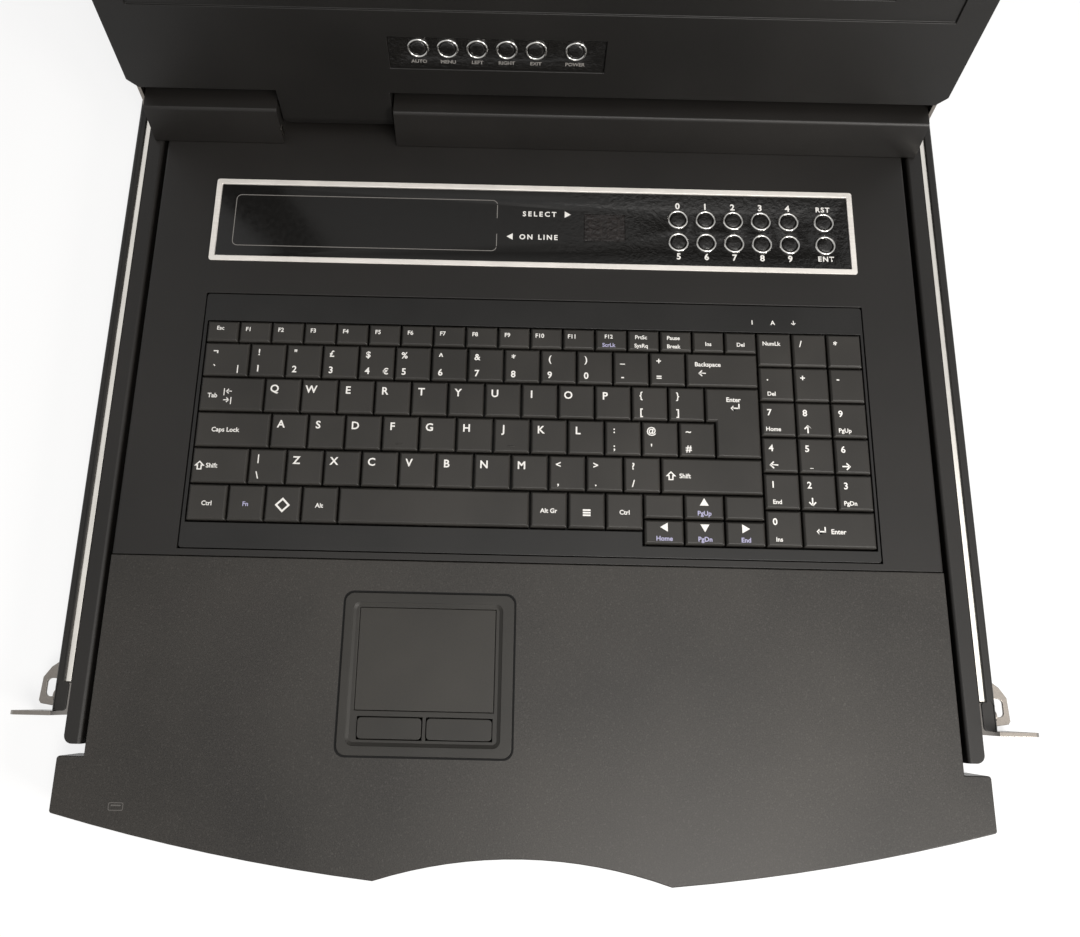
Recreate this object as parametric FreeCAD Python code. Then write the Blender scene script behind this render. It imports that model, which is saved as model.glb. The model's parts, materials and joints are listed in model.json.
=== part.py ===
import FreeCAD
import Part
import math
import os
from FreeCAD import Vector

# Rackmount console drawer, one rack unit high: a keyboard, a selector panel and a
# hinged screen on a tray that runs on three-part ball slides. Millimetres.
#
# +X is to the right, +Y into the rack, +Z up. The origin is the middle of the four
# front rack screws, on the front face of the ears. Heights are written above the
# underside of the tray, and save() lowers every piece to that origin. The drawer is
# drawn pushed in to its rails with the screen standing open.

# Rack standard
EAR_SPAN = 482.6
HOLE_SPACING = 465.1
HOLE_HEIGHTS = (6.35, 22.225)
RACK_SLOT = (10.5, 6.6)
UNIT_TOP = 43.5
ORIGIN_HEIGHT = sum(HOLE_HEIGHTS) / 2

# Heights above the underside
SHEET = 1.2
DECK_TOP = 22.0
KEY_TOP = 23.8
WELL_FLOOR = 14.0

# Half widths, from the middle outwards
DECK_HALF = 206.0
PAN_HALF = 209.5
COVER_HALF = 213.0
FLANGE_HALF = 216.5
LID_HALF = 218.0
WING_HALF = 218.5
RAIL_HALF = 224.4

# Depths, from the front face of the ears
WING_BACK = -18.0
WING_FRONT = -43.0
LOBE = (68.0, -69.0)
GRIP_APEX = -58.6
PAN_FRONT = -12.7
DECK_JOINT = 76.8
LEDGE_FRONT = 309.5
REAR_COVER_FRONT = 352.0
TRAY_BACK = 440.0
RAIL_BACK = 470.0
REAR_POST = 600.0

# Slides: a section 19 high, with two rows of balls between each pair of members
SLIDE_FRONT = 15.6
SLIDE_MIDDLE_HEIGHT = 11.5
BALL_RADIUS = 1.2
RACE_RADIUS = BALL_RADIUS + 0.05
MEMBER = 1.0
OUTER_BALL = (220.45, 7.05)
INNER_BALL = (219.15, 3.55)
CAGE_Y = (125.0, 325.0)
BALLS = 2

# Keyboard, its keys' edges and the gap between two keys
FRAME_X = (-173.6, 175.6)
FRAME_Y = (80.9, 217.5)
KEYS_LEFT = -171.3
KEYS_BACK = 201.6
MAIN_WIDTH = 289.7
FUNCTION_DEPTH = 12.2
PITCH = 19.0
PAD_COLUMN = 18.4
KEY_GAP = 0.9
KEY_TRAVEL = 2.5

# Selector panel and its round buttons
PANEL_X = (-175.4, 175.4)
PANEL_Y = (236.9, 286.2)
PANEL_BAND = 3.0
BUTTON_COLUMNS = (79.0, 94.15, 109.3, 124.45, 139.6, 159.0)
BUTTON_ROWS = (267.7, 254.0)
DISPLAY_X = (27.5, 50.0)
DISPLAY_Y = (253.6, 269.9)
BUTTON_RADIUS = 4.1
RING_RADIUS = 5.7
BUTTON_TRAVEL = 0.7

# Touchpad
TOUCH_X = (-88.6, -6.2)
TOUCH_Y = (-15.1, 60.6)
PAD_X = (-81.1, -15.2)
PAD_Y = (5.5, 53.5)
TOUCH_BUTTONS = {"touchpad_button_left": (-79.3, -49.0), "touchpad_button_right": (-46.6, -15.7)}
TOUCH_BUTTON_Y = (-7.5, 2.3)

# Opening for the socket in the front wall
USB_PORT_X = (-194.5, -181.5)
USB_PORT_Z = (8.5, 14.1)

# Back wall: sixteen video sockets in two rows, and a power inlet
PORT_LEFT = -180.0
PORT_PITCH = 36.0
PORT_HEIGHTS = (12.5, 31.0)
INLET = (168.0, 22.0)

# Lid: its hinge line, how far it leans back, and its box from the front lower edge
HINGE = Vector(0, 326.0, 32.0)
LEAN = 13.0
LID_DEPTH = 19.3
LID_HEIGHT = 351.0
LID_FACE = 7.8
LID_EDGE = 18.2
LID_SKIN = 1.5
FRONT_SKIN = 2.0
TONGUE_X = (-139.8, -78.7)
COVER_GAP_X = (-140.8, -77.7)
SCREEN_MIDDLE = 196.0
RECESS = (405.0, 292.0)
WINDOW = (338.0, 270.4)
SCREEN_MODULE = (358.5, 296.5, 11.0)
OSD_X = (-76.8, 34.1)
OSD_Z = (16.0, 35.0)
OSD_BUTTONS = {"auto": -61.5, "menu": -46.5, "left": -31.5, "right": -16.4, "exit": -1.4, "power": 18.8}
OSD_BUTTON_HEIGHT = 28.0
PIN_RADIUS = 3.0
PIN_CLEARANCE = 0.05

pieces = {}


def save(name, *solids):
    """Keep one sub-part: its solids, lowered so that the origin is between the rack screws."""
    shape = solids[0] if len(solids) == 1 else Part.makeCompound(list(solids))
    shape = shape.copy()
    shape.translate(Vector(0, 0, -ORIGIN_HEIGHT))
    pieces[name] = shape


def block(x, y, z):
    """Rectangular block between pairs of limits."""
    return Part.makeBox(x[1] - x[0], y[1] - y[0], z[1] - z[0], Vector(x[0], y[0], z[0]))


def edges_along(shape, axis):
    """Straight edges of a shape that run along an axis."""
    found = []
    for edge in shape.Edges:
        run = edge.Vertexes[-1].Point - edge.Vertexes[0].Point
        if run.Length > 1e-6 and abs(run.normalize().dot(axis)) > 0.9999:
            found.append(edge)
    return found


def plate(x, y, z, corner):
    """Block with its four upright edges rounded."""
    shape = block(x, y, z)
    return shape.makeFillet(corner, edges_along(shape, Vector(0, 0, 1)))


def grown(limits, by):
    """Pair of limits moved outwards at both ends."""
    return (limits[0] - by, limits[1] + by)


def cylinder(centre, axis, radius, length):
    """Round bar that starts at centre and runs along axis."""
    return Part.makeCylinder(radius, length, centre, axis)


def flat_sided(base, axis, radius, length):
    """Round piece that repeats many times, drawn with flat sides so that it stays light."""
    sides = 12
    step = 2 * math.pi / sides
    corner = radius / math.cos(step / 2)
    points = [Vector(corner * math.cos(step * (i + 0.5)), corner * math.sin(step * (i + 0.5)), 0)
              for i in range(sides)]
    prism = Part.Face(Part.makePolygon(points + points[:1])).extrude(Vector(0, 0, length))
    prism.Placement = FreeCAD.Placement(base, FreeCAD.Rotation(Vector(0, 0, 1), axis))
    return prism


def mirrored(shape):
    """The same shape on the other side of the middle."""
    return shape.mirror(Vector(0, 0, 0), Vector(1, 0, 0))


def bent_strip(path, thickness):
    """Section of bent sheet in the XZ plane. The path runs down the middle of the sheet,
    as (x, z) ends and (x, z, bend radius) corners."""
    points = [Vector(p[0], 0, p[1]) for p in path]
    radii = [p[2] if len(p) > 2 else 0 for p in path]
    legs = [(b - a).normalize() for a, b in zip(points, points[1:])]
    sides = []
    for offset in (thickness / 2, -thickness / 2):
        edges = []
        here = points[0] + Vector(-legs[0].z, 0, legs[0].x) * offset
        start = here
        for i, (before, after) in enumerate(zip(legs, legs[1:]), 1):
            half_turn = before.getAngle(after) / 2
            back = radii[i] * math.tan(half_turn)
            inward = (after - before).normalize()
            centre = points[i] + inward * (radii[i] / math.cos(half_turn))
            enter = points[i] - before * back + Vector(-before.z, 0, before.x) * offset
            leave = points[i] + after * back + Vector(-after.z, 0, after.x) * offset
            if (enter - here).Length > 1e-6:
                edges.append(Part.makeLine(here, enter))
            edges.append(Part.Arc(enter, centre - inward * (enter - centre).Length, leave).toShape())
            here = leave
        end = points[-1] + Vector(-legs[-1].z, 0, legs[-1].x) * offset
        edges.append(Part.makeLine(here, end))
        sides.append((edges, start, end))
    (left, left_start, left_end), (right, right_start, right_end) = sides
    caps = [Part.makeLine(left_start, right_start), Part.makeLine(left_end, right_end)]
    return Part.Face(Part.Wire(Part.__sortEdges__(left + right + caps)))


def bar_along_y(face, y):
    """Section in the XZ plane drawn out between two depths."""
    bar = face.extrude(Vector(0, y[1] - y[0], 0))
    bar.translate(Vector(0, y[0], 0))
    return bar


def bar_along_x(outline, x):
    """Closed outline of (y, z) points drawn out between two widths."""
    points = [Vector(x[0], y, z) for y, z in outline]
    return Part.Face(Part.makePolygon(points + points[:1])).extrude(Vector(x[1] - x[0], 0, 0))


def slot_along_x(x, y, z, length, width, depth):
    """Round-ended slot for a screw that runs along Y."""
    shape = block((x - length / 2, x + length / 2), (y, y + depth), (z - width / 2, z + width / 2))
    return shape.makeFillet(width / 2 - 0.01, edges_along(shape, Vector(0, 1, 0)))


# ---------------------------------------------------------------- fixed rails

def outer_rail():
    """Black channel that carries the slide. Its upper lip widens in front of the slide."""
    lip, web, low, high = 219.9, RAIL_HALF - 0.75, 1.4, 21.6
    section = bent_strip([(lip, high), (web, high, 1.2), (web, low, 1.2), (lip, low)], SHEET)
    channel = bar_along_y(section, (2.0, RAIL_BACK))
    nose = plate((217.4, 223.0), (2.0, SLIDE_FRONT - 0.2), (high - SHEET / 2, high + SHEET / 2), 1.8)
    return channel.fuse(nose).removeSplitter()


def rack_flange(y):
    """Flange with two slots that is screwed to a rack post."""
    plate_x, plate_z = (221.8, EAR_SPAN / 2), (0.6, 27.6)
    flange = block(plate_x, (y, y + 2.0), plate_z)
    outer = [e for e in edges_along(flange, Vector(0, 1, 0)) if e.CenterOfMass.x > 240]
    flange = flange.makeChamfer(2.0, outer)
    for height in HOLE_HEIGHTS:
        flange = flange.cut(slot_along_x(HOLE_SPACING / 2, y - 1, height, *RACK_SLOT, 4.0))
    return flange


def ear():
    """Nickel-plated front ear: flange, leg inside the rail, and a tab with an oblong hole."""
    flange = rack_flange(0.0)
    leg = block((221.8, 222.9), (2.0, SLIDE_FRONT - 0.4), (2.2, 20.8))
    tab_z = (12.4, 14.0)
    outline = [(222.9, 3.5), (233.6, 5.2), (234.6, 6.6), (234.0, 17.5), (230.6, 22.4), (224.4, 27.0),
               (222.9, 27.0)]
    points = [Vector(x, y, tab_z[0]) for x, y in outline]
    tab = Part.Face(Part.makePolygon(points + points[:1])).extrude(Vector(0, 0, tab_z[1] - tab_z[0]))
    tab = tab.cut(plate((226.0, 231.8), (8.5, 17.0), (tab_z[0] - 1, tab_z[1] + 1), 2.2))
    window = block((RAIL_HALF - 2, RAIL_HALF + 1), (3.3, 27.2), grown(tab_z, 0.2))
    return flange.fuse([leg, tab]).removeSplitter(), window


def rear_bracket():
    """Black bracket that reaches back to the rear post, with a long slot to adjust it."""
    web_x = (221.4, 222.9)
    web = block(web_x, (446.0, REAR_POST - 1), (3.2, 19.8))
    slot = plate((-2.75, 2.75), (460.0, 570.0), (0, 4), 2.7)
    slot.rotate(Vector(0, 0, 0), Vector(0, 1, 0), 90)
    slot.translate(Vector(220.0, 0, SLIDE_MIDDLE_HEIGHT))
    return web.cut(slot).fuse(rack_flange(REAR_POST - 2.0)).removeSplitter()


# ---------------------------------------------------------------- ball slides

def both_ways(half_path):
    """Whole path of a slide member from its upper half, mirrored about the slide's middle."""
    upper = [(p[0], SLIDE_MIDDLE_HEIGHT + p[1], *p[2:]) for p in half_path]
    lower = [(p[0], SLIDE_MIDDLE_HEIGHT - p[1], *p[2:]) for p in reversed(half_path)]
    return upper + lower


def slide_outer():
    """Fixed member: a channel whose upper and lower corners are the races of the outer balls."""
    x, h = OUTER_BALL
    reach = RACE_RADIUS + SHEET / 2
    return bent_strip(both_ways([(217.2, h + reach), (x + reach, h + reach, reach)]), SHEET)


def slide_middle():
    """Middle member: hooks under the outer balls, and corners over the inner balls."""
    x, h = OUTER_BALL
    reach = RACE_RADIUS + MEMBER / 2
    web = INNER_BALL[0] + reach
    return bent_strip(both_ways([(x - reach, h + 0.8), (x - reach, h - reach, reach),
                                 (web, h - reach, 0.55)]), MEMBER)


def slide_inner():
    """Inner member, fixed to the tray: a channel whose lips hook under the inner balls."""
    x, h = INNER_BALL
    reach = RACE_RADIUS + MEMBER / 2
    web = PAN_HALF + MEMBER / 2
    return bent_strip(both_ways([(x + 0.8, h - reach), (x - reach, h - reach, reach),
                                 (x - reach, h + 1.0, 0.6), (web, h + 1.0, 0.6)]), MEMBER)


def ball(centre):
    """Ball of a cage, cut with eighteen flats so that the rows stay light. Its corners reach the radius."""
    flat = BALL_RADIUS / 1.16
    cube = Part.makeBox(2 * flat, 2 * flat, 2 * flat, Vector(-flat, -flat, -flat))
    body = cube
    for axis in (Vector(1, 0, 0), Vector(0, 1, 0), Vector(0, 0, 1)):
        turned = cube.copy()
        turned.rotate(Vector(0, 0, 0), axis, 45)
        body = body.common(turned)
    body.translate(centre)
    return body


def ball_rows(place, y, count):
    """Cage strip above and below with its balls, for one side of the slides."""
    rows = []
    for sign in (1, -1):
        x, z = place[0], SLIDE_MIDDLE_HEIGHT + sign * place[1]
        strip = block((x - 0.35, x + 0.35), y, (z - 0.35, z + 0.35))
        step = (y[1] - y[0]) / count
        for i in range(count):
            centre = Vector(x, y[0] + step * (i + 0.5), z)
            strip = strip.fuse(ball(centre))
        rows.append(strip)
    return rows


for side, turn in (("right", lambda s: s), ("left", mirrored)):
    ear_shape, ear_window = ear()
    rail = outer_rail().cut(ear_window)
    save(f"outer_rail_{side}", turn(rail))
    save(f"ear_{side}", turn(ear_shape))
    save(f"rear_bracket_{side}", turn(rear_bracket()))
    save(f"slide_outer_{side}", turn(bar_along_y(slide_outer(), (SLIDE_FRONT, TRAY_BACK))))
    save(f"slide_middle_{side}", turn(bar_along_y(slide_middle(), (18.0, 436.0))))
    save(f"slide_inner_{side}", turn(bar_along_y(slide_inner(), (14.0, 432.0))))

outer_rows = ball_rows(OUTER_BALL, CAGE_Y, BALLS)
inner_rows = ball_rows(INNER_BALL, CAGE_Y, BALLS)
save("ball_cages_outer", *outer_rows, *[mirrored(r) for r in outer_rows])
save("ball_cages_inner", *inner_rows, *[mirrored(r) for r in inner_rows])


# ---------------------------------------------------------------- tray and palm rest

def tray_pan():
    """Folded pan: floor, side walls with outward flanges, back edge, and lugs for the hinge pins."""
    wall, flange = PAN_HALF - SHEET / 2, DECK_TOP - SHEET / 2
    section = bent_strip([(-FLANGE_HALF, flange), (-wall, flange, 1.2), (-wall, SHEET / 2, 1.2),
                          (wall, SHEET / 2, 1.2), (wall, flange, 1.2), (FLANGE_HALF, flange)], SHEET)
    pan = bar_along_y(section, (PAN_FRONT, TRAY_BACK - SHEET))
    corners = [e for e in edges_along(pan, Vector(0, 0, 1))
               if e.CenterOfMass.y < PAN_FRONT + 1 and abs(e.CenterOfMass.x) > FLANGE_HALF - 1]
    pan = pan.makeFillet(4.0, corners)
    pan = pan.fuse(block((-203.0, 203.0), (-38.0, PAN_FRONT), (0, SHEET)))
    for x in (-200.0, 198.0):
        lug = block((x, x + 2.0), (318.0, 334.0), (SHEET, 39.0))
        lug = lug.makeChamfer(5.0, [e for e in edges_along(lug, Vector(1, 0, 0)) if e.CenterOfMass.z > 38])
        bore = cylinder(Vector(x - 1, HINGE.y, HINGE.z), Vector(1, 0, 0), PIN_RADIUS + PIN_CLEARANCE, 4)
        pan = pan.fuse(lug.cut(bore))
    return pan.removeSplitter()


def palm_outline():
    """Outline of the palm rest: wings, bowed front edges to two lobes, and a hollow for the hand."""
    lobe_x, lobe_y = LOBE
    bow = Vector(-(WING_HALF + lobe_x) / 2 - 0.5, (WING_FRONT + lobe_y) / 2 - 2.8, 0)
    left = [Vector(-DECK_HALF, DECK_JOINT, 0), Vector(-DECK_HALF, WING_BACK, 0),
            Vector(-WING_HALF, WING_BACK, 0), Vector(-WING_HALF, WING_FRONT, 0)]
    right = [Vector(-p.x, p.y, 0) for p in reversed(left)]
    lobes = Vector(-lobe_x, lobe_y, 0), Vector(lobe_x, lobe_y, 0)
    edges = [Part.makeLine(a, b) for a, b in zip(left, left[1:])]
    edges.append(Part.Arc(left[-1], bow, lobes[0]).toShape())
    edges.append(Part.Arc(lobes[0], Vector(0, GRIP_APEX, 0), lobes[1]).toShape())
    edges.append(Part.Arc(lobes[1], Vector(-bow.x, bow.y, 0), right[0]).toShape())
    edges += [Part.makeLine(a, b) for a, b in zip(right, right[1:])]
    edges.append(Part.makeLine(right[-1], left[0]))
    return Part.Wire(edges)


def palm_rest():
    """Front casting with a top skin and a wall round the outline, open below and behind."""
    skin, wire = 2.0, palm_outline()
    body = Part.Face(wire).extrude(Vector(0, 0, DECK_TOP))
    rounded = [e for e in edges_along(body, Vector(0, 0, 1)) if e.CenterOfMass.y < WING_BACK + 1
               and abs(e.CenterOfMass.x) > DECK_HALF + 1 or e.CenterOfMass.y < WING_FRONT - 1]
    body = body.makeFillet(1.5, rounded)
    inner = Part.Face(wire.makeOffset2D(-skin, 2)).extrude(Vector(0, 0, DECK_TOP - skin))
    inside = (skin - DECK_HALF, DECK_HALF - skin)
    back = block(inside, (DECK_JOINT - 5, DECK_JOINT + 1), (-1, DECK_TOP - skin))
    over_pan = block(grown((0, 0), DECK_HALF + 1), (PAN_FRONT - 0.3, DECK_JOINT + 1), (-1, SHEET))
    body = body.cut(inner).cut(back).cut(over_pan)
    body = body.cut(block(grown(TOUCH_X, -1.5), grown(TOUCH_Y, -1.5), (0, DECK_TOP + 1)))
    return body.cut(block(USB_PORT_X, (-60, -40), USB_PORT_Z)).removeSplitter()


def keyboard_deck():
    """Top plate with turned-down sides and openings for the keyboard and the selector panel."""
    middle = DECK_TOP - SHEET / 2
    side = DECK_HALF - SHEET / 2
    section = bent_strip([(-side, 12.0), (-side, middle, 0.9), (side, middle, 0.9), (side, 12.0)], SHEET)
    deck = bar_along_y(section, (DECK_JOINT + 0.3, REAR_COVER_FRONT))
    deck = deck.cut(block(grown(FRAME_X, 0.5), grown(FRAME_Y, 0.5), (0, 30)))
    deck = deck.cut(block(grown(PANEL_X, -1.5), grown(PANEL_Y, -1.5), (0, 30)))
    for x in (-202.0, 196.0):
        deck = deck.cut(block((x, x + 6.0), (316.0, 336.0), (0, 30)))
    return deck


save("tray_pan", tray_pan())
save("palm_rest", palm_rest())
save("keyboard_deck", keyboard_deck())


# ---------------------------------------------------------------- keyboard

def key_rows():
    """Every key as limits (x, y), by row. Widths run from the left edge of the main block."""
    arrow_left = 57.4
    widths = {
        "function_row_keys": [MAIN_WIDTH / 17] * 17,
        "number_row_keys": [23.9] + [PITCH] * 12 + [37.8],
        "upper_row_keys": [33.3] + [PITCH] * 12,
        "home_row_keys": [38.3] + [PITCH] * 12,
        "lower_row_keys": [28.8] + [PITCH] * 11 + [51.9],
        "bottom_row_keys": [20.1, 18.7, 18.4, 18.4, 96.1, 19.0, 19.0, 19.0],
    }
    rows = {}
    back = KEYS_BACK
    for name, row in widths.items():
        depth = FUNCTION_DEPTH if name == "function_row_keys" else PITCH
        x = KEYS_LEFT
        rows[name] = []
        for width in row:
            rows[name].append([((x, x + width), (back - depth, back))])
            x += width
        back -= depth
    upper, lower = KEYS_BACK - FUNCTION_DEPTH - PITCH, KEYS_BACK - FUNCTION_DEPTH - 2 * PITCH
    right = KEYS_LEFT + MAIN_WIDTH
    rows["upper_row_keys"].append([((right - 28.4, right), (upper - PITCH, upper)),
                                   ((right - 23.4, right), (lower - PITCH, lower))])
    arrow_width, arrow_depth = (right - arrow_left) / 3, 13.1
    for row in (0, 1):
        top = back + PITCH - row * arrow_depth
        for column in range(3):
            x = arrow_left + column * arrow_width
            rows["bottom_row_keys"].append([((x, x + arrow_width), (top - arrow_depth, top))])
    pad_depth = (KEYS_BACK - (back + PITCH - 2 * arrow_depth)) / 6
    rows["numpad_keys"] = []
    for row in range(6):
        top = KEYS_BACK - row * pad_depth
        spans = [(0, 1), (1, 2), (2, 3)] if row < 5 else [(0, 1), (1, 3)]
        for first, last in spans:
            x = (right + first * PAD_COLUMN, right + last * PAD_COLUMN)
            rows["numpad_keys"].append([(x, (top - pad_depth, top))])
    return rows


def key_cap(rectangles):
    """Key cap over one rectangle, or over two for the stepped Enter key, bevelled at the top."""
    cap = None
    for index, (x, y) in enumerate(rectangles):
        join = KEY_GAP if index else 0
        part = block(grown(x, -KEY_GAP / 2), (y[0] + KEY_GAP / 2, y[1] - KEY_GAP / 2 + join),
                     (WELL_FLOOR + KEY_TRAVEL + 0.5, KEY_TOP))
        cap = part if cap is None else cap.fuse(part).removeSplitter()
    top_edges = [e for e in cap.Edges if e.CenterOfMass.z > KEY_TOP - 1e-6]
    return cap.makeChamfer(0.9, top_edges)


def keyboard_frame():
    """Plastic frame flush with the deck: a rim round the keys and a floor under them."""
    rim = plate(FRAME_X, FRAME_Y, (WELL_FLOOR - 2.0, DECK_TOP), 1.6)
    gap = 0.5
    right = KEYS_LEFT + MAIN_WIDTH
    front = KEYS_BACK - FUNCTION_DEPTH - 5 * PITCH
    arrow_front = front + PITCH - 26.2
    well_z = (WELL_FLOOR, DECK_TOP + 1)
    well = block((KEYS_LEFT - gap, right + gap), (front - gap, KEYS_BACK + gap), well_z)
    pad = block((right, right + 3 * PAD_COLUMN + gap), (arrow_front - gap, KEYS_BACK + gap), well_z)
    arrows = block((57.4 - gap, right + 1), (arrow_front - gap, front + 1), well_z)
    return rim.cut(well.fuse([pad, arrows]).removeSplitter())


for name, row in key_rows().items():
    save(name, *[key_cap(rectangles) for rectangles in row])
save("keyboard_frame", keyboard_frame())


# ---------------------------------------------------------------- selector panel

def round_button(centre, axis, radius, stand, depth):
    """Round button whose face stands above the panel, on a stem down to its switch."""
    base = centre - axis * depth
    stem = flat_sided(base, axis, radius, depth + stand)
    rim = [e for e in stem.Edges if abs((e.CenterOfMass - centre).dot(axis) - stand) < 1e-6]
    return stem.makeChamfer(0.4, rim)


def panel_frame():
    """Bright frame lying on the deck, with a skirt that drops through the deck's opening."""
    band = plate(PANEL_X, PANEL_Y, (DECK_TOP, DECK_TOP + 0.8), 1.5)
    skirt = block(grown(PANEL_X, -1.6), grown(PANEL_Y, -1.6), (18.6, DECK_TOP))
    opening = block(grown(PANEL_X, -PANEL_BAND), grown(PANEL_Y, -PANEL_BAND), (0, 30))
    return band.fuse(skirt).cut(opening).removeSplitter()


def panel_face():
    """Black face inside the frame, with a window for the digits and a raised ring round each button."""
    top = DECK_TOP - 0.1
    face = block(grown(PANEL_X, -PANEL_BAND), grown(PANEL_Y, -PANEL_BAND), (top - 1.4, top))
    places = [Vector(x, y, top) for x in BUTTON_COLUMNS for y in BUTTON_ROWS]
    up = Vector(0, 0, 1)
    face = face.fuse([flat_sided(p, up, RING_RADIUS, 0.4) for p in places])
    holes = [flat_sided(p - up * 5, up, BUTTON_RADIUS + 0.2, 10) for p in places]
    face = face.cut(Part.makeCompound(holes))
    return face.cut(block(DISPLAY_X, DISPLAY_Y, (0, 30)))


def display_board():
    """Circuit board with the two-digit display and a small switch under each button."""
    board = block((20.0, 168.0), (246.0, 276.0), (9.0, 10.6))
    module = block(grown(DISPLAY_X, -0.3), grown(DISPLAY_Y, -0.3), (10.6, 21.2))
    switches = [block((x - 3, x + 3), (y - 3, y + 3), (10.6, 17.0))
                for x in BUTTON_COLUMNS for y in BUTTON_ROWS]
    return board.fuse([module] + switches).removeSplitter()


save("panel_frame", panel_frame())
save("panel_face", panel_face())
save("display_board", display_board())
for row, names in enumerate((["0", "1", "2", "3", "4", "reset"], ["5", "6", "7", "8", "9", "enter"])):
    for name, x in zip(names, BUTTON_COLUMNS):
        place = Vector(x, BUTTON_ROWS[row], DECK_TOP - 0.1)
        save(f"panel_button_{name}", round_button(place, Vector(0, 0, 1), BUTTON_RADIUS, 0.9, 4.1))


# ---------------------------------------------------------------- touchpad

def touchpad_frame():
    """Flush surround with openings for the pad and its two buttons, dished between them."""
    rim = plate(TOUCH_X, TOUCH_Y, (DECK_TOP, DECK_TOP + 0.5), 4.5)
    body = block(grown(TOUCH_X, -1.7), grown(TOUCH_Y, -1.7), (17.0, DECK_TOP))
    dish = plate((PAD_X[0] - 3.4, PAD_X[1] + 3.4), (TOUCH_BUTTON_Y[0] - 3.2, PAD_Y[1] + 2.6),
                 (DECK_TOP - 0.3, 30), 3.5)
    frame = rim.fuse(body).cut(dish)
    frame = frame.cut(block(grown(PAD_X, 0.2), grown(PAD_Y, 0.2), (18.5, 30)))
    for x in TOUCH_BUTTONS.values():
        frame = frame.cut(block(grown(x, 0.3), grown(TOUCH_BUTTON_Y, 0.3), (16, 30)))
    return frame.removeSplitter()


save("touchpad_frame", touchpad_frame())
save("touchpad_surface", block(PAD_X, PAD_Y, (18.5, DECK_TOP - 0.5)))
for name, x in TOUCH_BUTTONS.items():
    cap = block(x, TOUCH_BUTTON_Y, (18.2, DECK_TOP + 0.4))
    save(name, cap.makeFillet(0.5, [e for e in cap.Edges if e.CenterOfMass.z > DECK_TOP]))


# ---------------------------------------------------------------- hinge covers and rear

def hinge_cover(x, bored_ends):
    """Folded cover over the hinge line, its front leaning back to clear the lid's edge as it turns."""
    def shell(inset):
        low = DECK_TOP if inset == 0 else DECK_TOP - 1
        return [(LEDGE_FRONT + inset, low), (LEDGE_FRONT + inset, DECK_TOP + 1.0),
                (315.4 + inset, UNIT_TOP - 1.2 - inset / 3), (316.8 + inset, UNIT_TOP - inset),
                (REAR_COVER_FRONT - 0.2, UNIT_TOP - inset), (REAR_COVER_FRONT - 0.2, low)]
    cover = bar_along_x(shell(0), x).cut(bar_along_x(shell(SHEET), grown(x, -SHEET)))
    for end in bored_ends:
        bore = cylinder(Vector(end - 2, HINGE.y, HINGE.z), Vector(1, 0, 0), PIN_RADIUS + PIN_CLEARANCE, 4)
        cover = cover.cut(bore)
    return cover


def rear_cover():
    """Cover of the electronics behind the hinge: top, sides and a back wall cut for its sockets."""
    y = (REAR_COVER_FRONT, TRAY_BACK)
    middle, side = UNIT_TOP - SHEET / 2, COVER_HALF - SHEET / 2
    turns = [(-side, DECK_TOP), (-side, middle, 1.2), (side, middle, 1.2), (side, DECK_TOP)]
    section = bent_strip(turns, SHEET)
    cover = bar_along_y(section, y)
    wall_y = (TRAY_BACK - SHEET, TRAY_BACK)
    cover = cover.fuse(block((-COVER_HALF + 1, COVER_HALF - 1), wall_y, (DECK_TOP, UNIT_TOP - 1)))
    cover = cover.fuse(block((-PAN_HALF, PAN_HALF), wall_y, (0.0, DECK_TOP)))
    for x, z in port_places():
        cover = cover.cut(block((x - 9.2, x + 9.2), (TRAY_BACK - 3, TRAY_BACK + 1), (z - 5.0, z + 5.0)))
    x, z = INLET
    inlet = block((x - 14.2, x + 14.2), (TRAY_BACK - 3, TRAY_BACK + 1), (z - 10.2, z + 10.2))
    return cover.cut(inlet).removeSplitter()


def port_places():
    """Middles of the sixteen video sockets, in two rows of eight."""
    return [(PORT_LEFT + PORT_PITCH * i, z) for z in PORT_HEIGHTS for i in range(8)]


def video_socket(x, z):
    """D-shaped socket: flange on the back wall, shell with slanted ends, and its insert."""
    flange = block((x - 15.4, x + 15.4), (TRAY_BACK, TRAY_BACK + 0.8), (z - 6.2, z + 6.2))

    def d_shape(inset, y, length):
        wide, narrow, half = 8.3 - inset, 7.0 - inset, 4.0 - inset
        points = [Vector(x + a, y, z + b) for a, b in
                  ((-wide, half), (wide, half), (narrow, -half), (-narrow, -half))]
        return Part.Face(Part.makePolygon(points + points[:1])).extrude(Vector(0, length, 0))

    shell = d_shape(0, TRAY_BACK - 4, 9.6).cut(d_shape(0.5, TRAY_BACK + 5.0, 2))
    return flange.fuse(shell).removeSplitter()


def power_inlet():
    """Three-pin appliance inlet: a deep rim with keyed corners round its pins."""
    x, z = INLET
    rim = block((x - 15.5, x + 15.5), (TRAY_BACK, TRAY_BACK + 2.0), (z - 12.5, z + 12.5))
    body = block((x - 14.0, x + 14.0), (TRAY_BACK - 18.0, TRAY_BACK), (z - 10.0, z + 10.0))
    points = [(-12.2, 8.2), (12.2, 8.2), (12.2, -4.0), (8.0, -8.2), (-8.0, -8.2), (-12.2, -4.0)]
    points = [Vector(x + a, TRAY_BACK - 15.0, z + b) for a, b in points]
    hollow = Part.Face(Part.makePolygon(points + points[:1])).extrude(Vector(0, 20, 0))
    pins = [block((x + a - 1, x + a + 1), (TRAY_BACK - 15.5, TRAY_BACK - 2), (z + b - 2, z + b + 2))
            for a, b in ((-7, -1.5), (0, 3.0), (7, -1.5))]
    return rim.fuse(body).cut(hollow).fuse(pins).removeSplitter()


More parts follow.
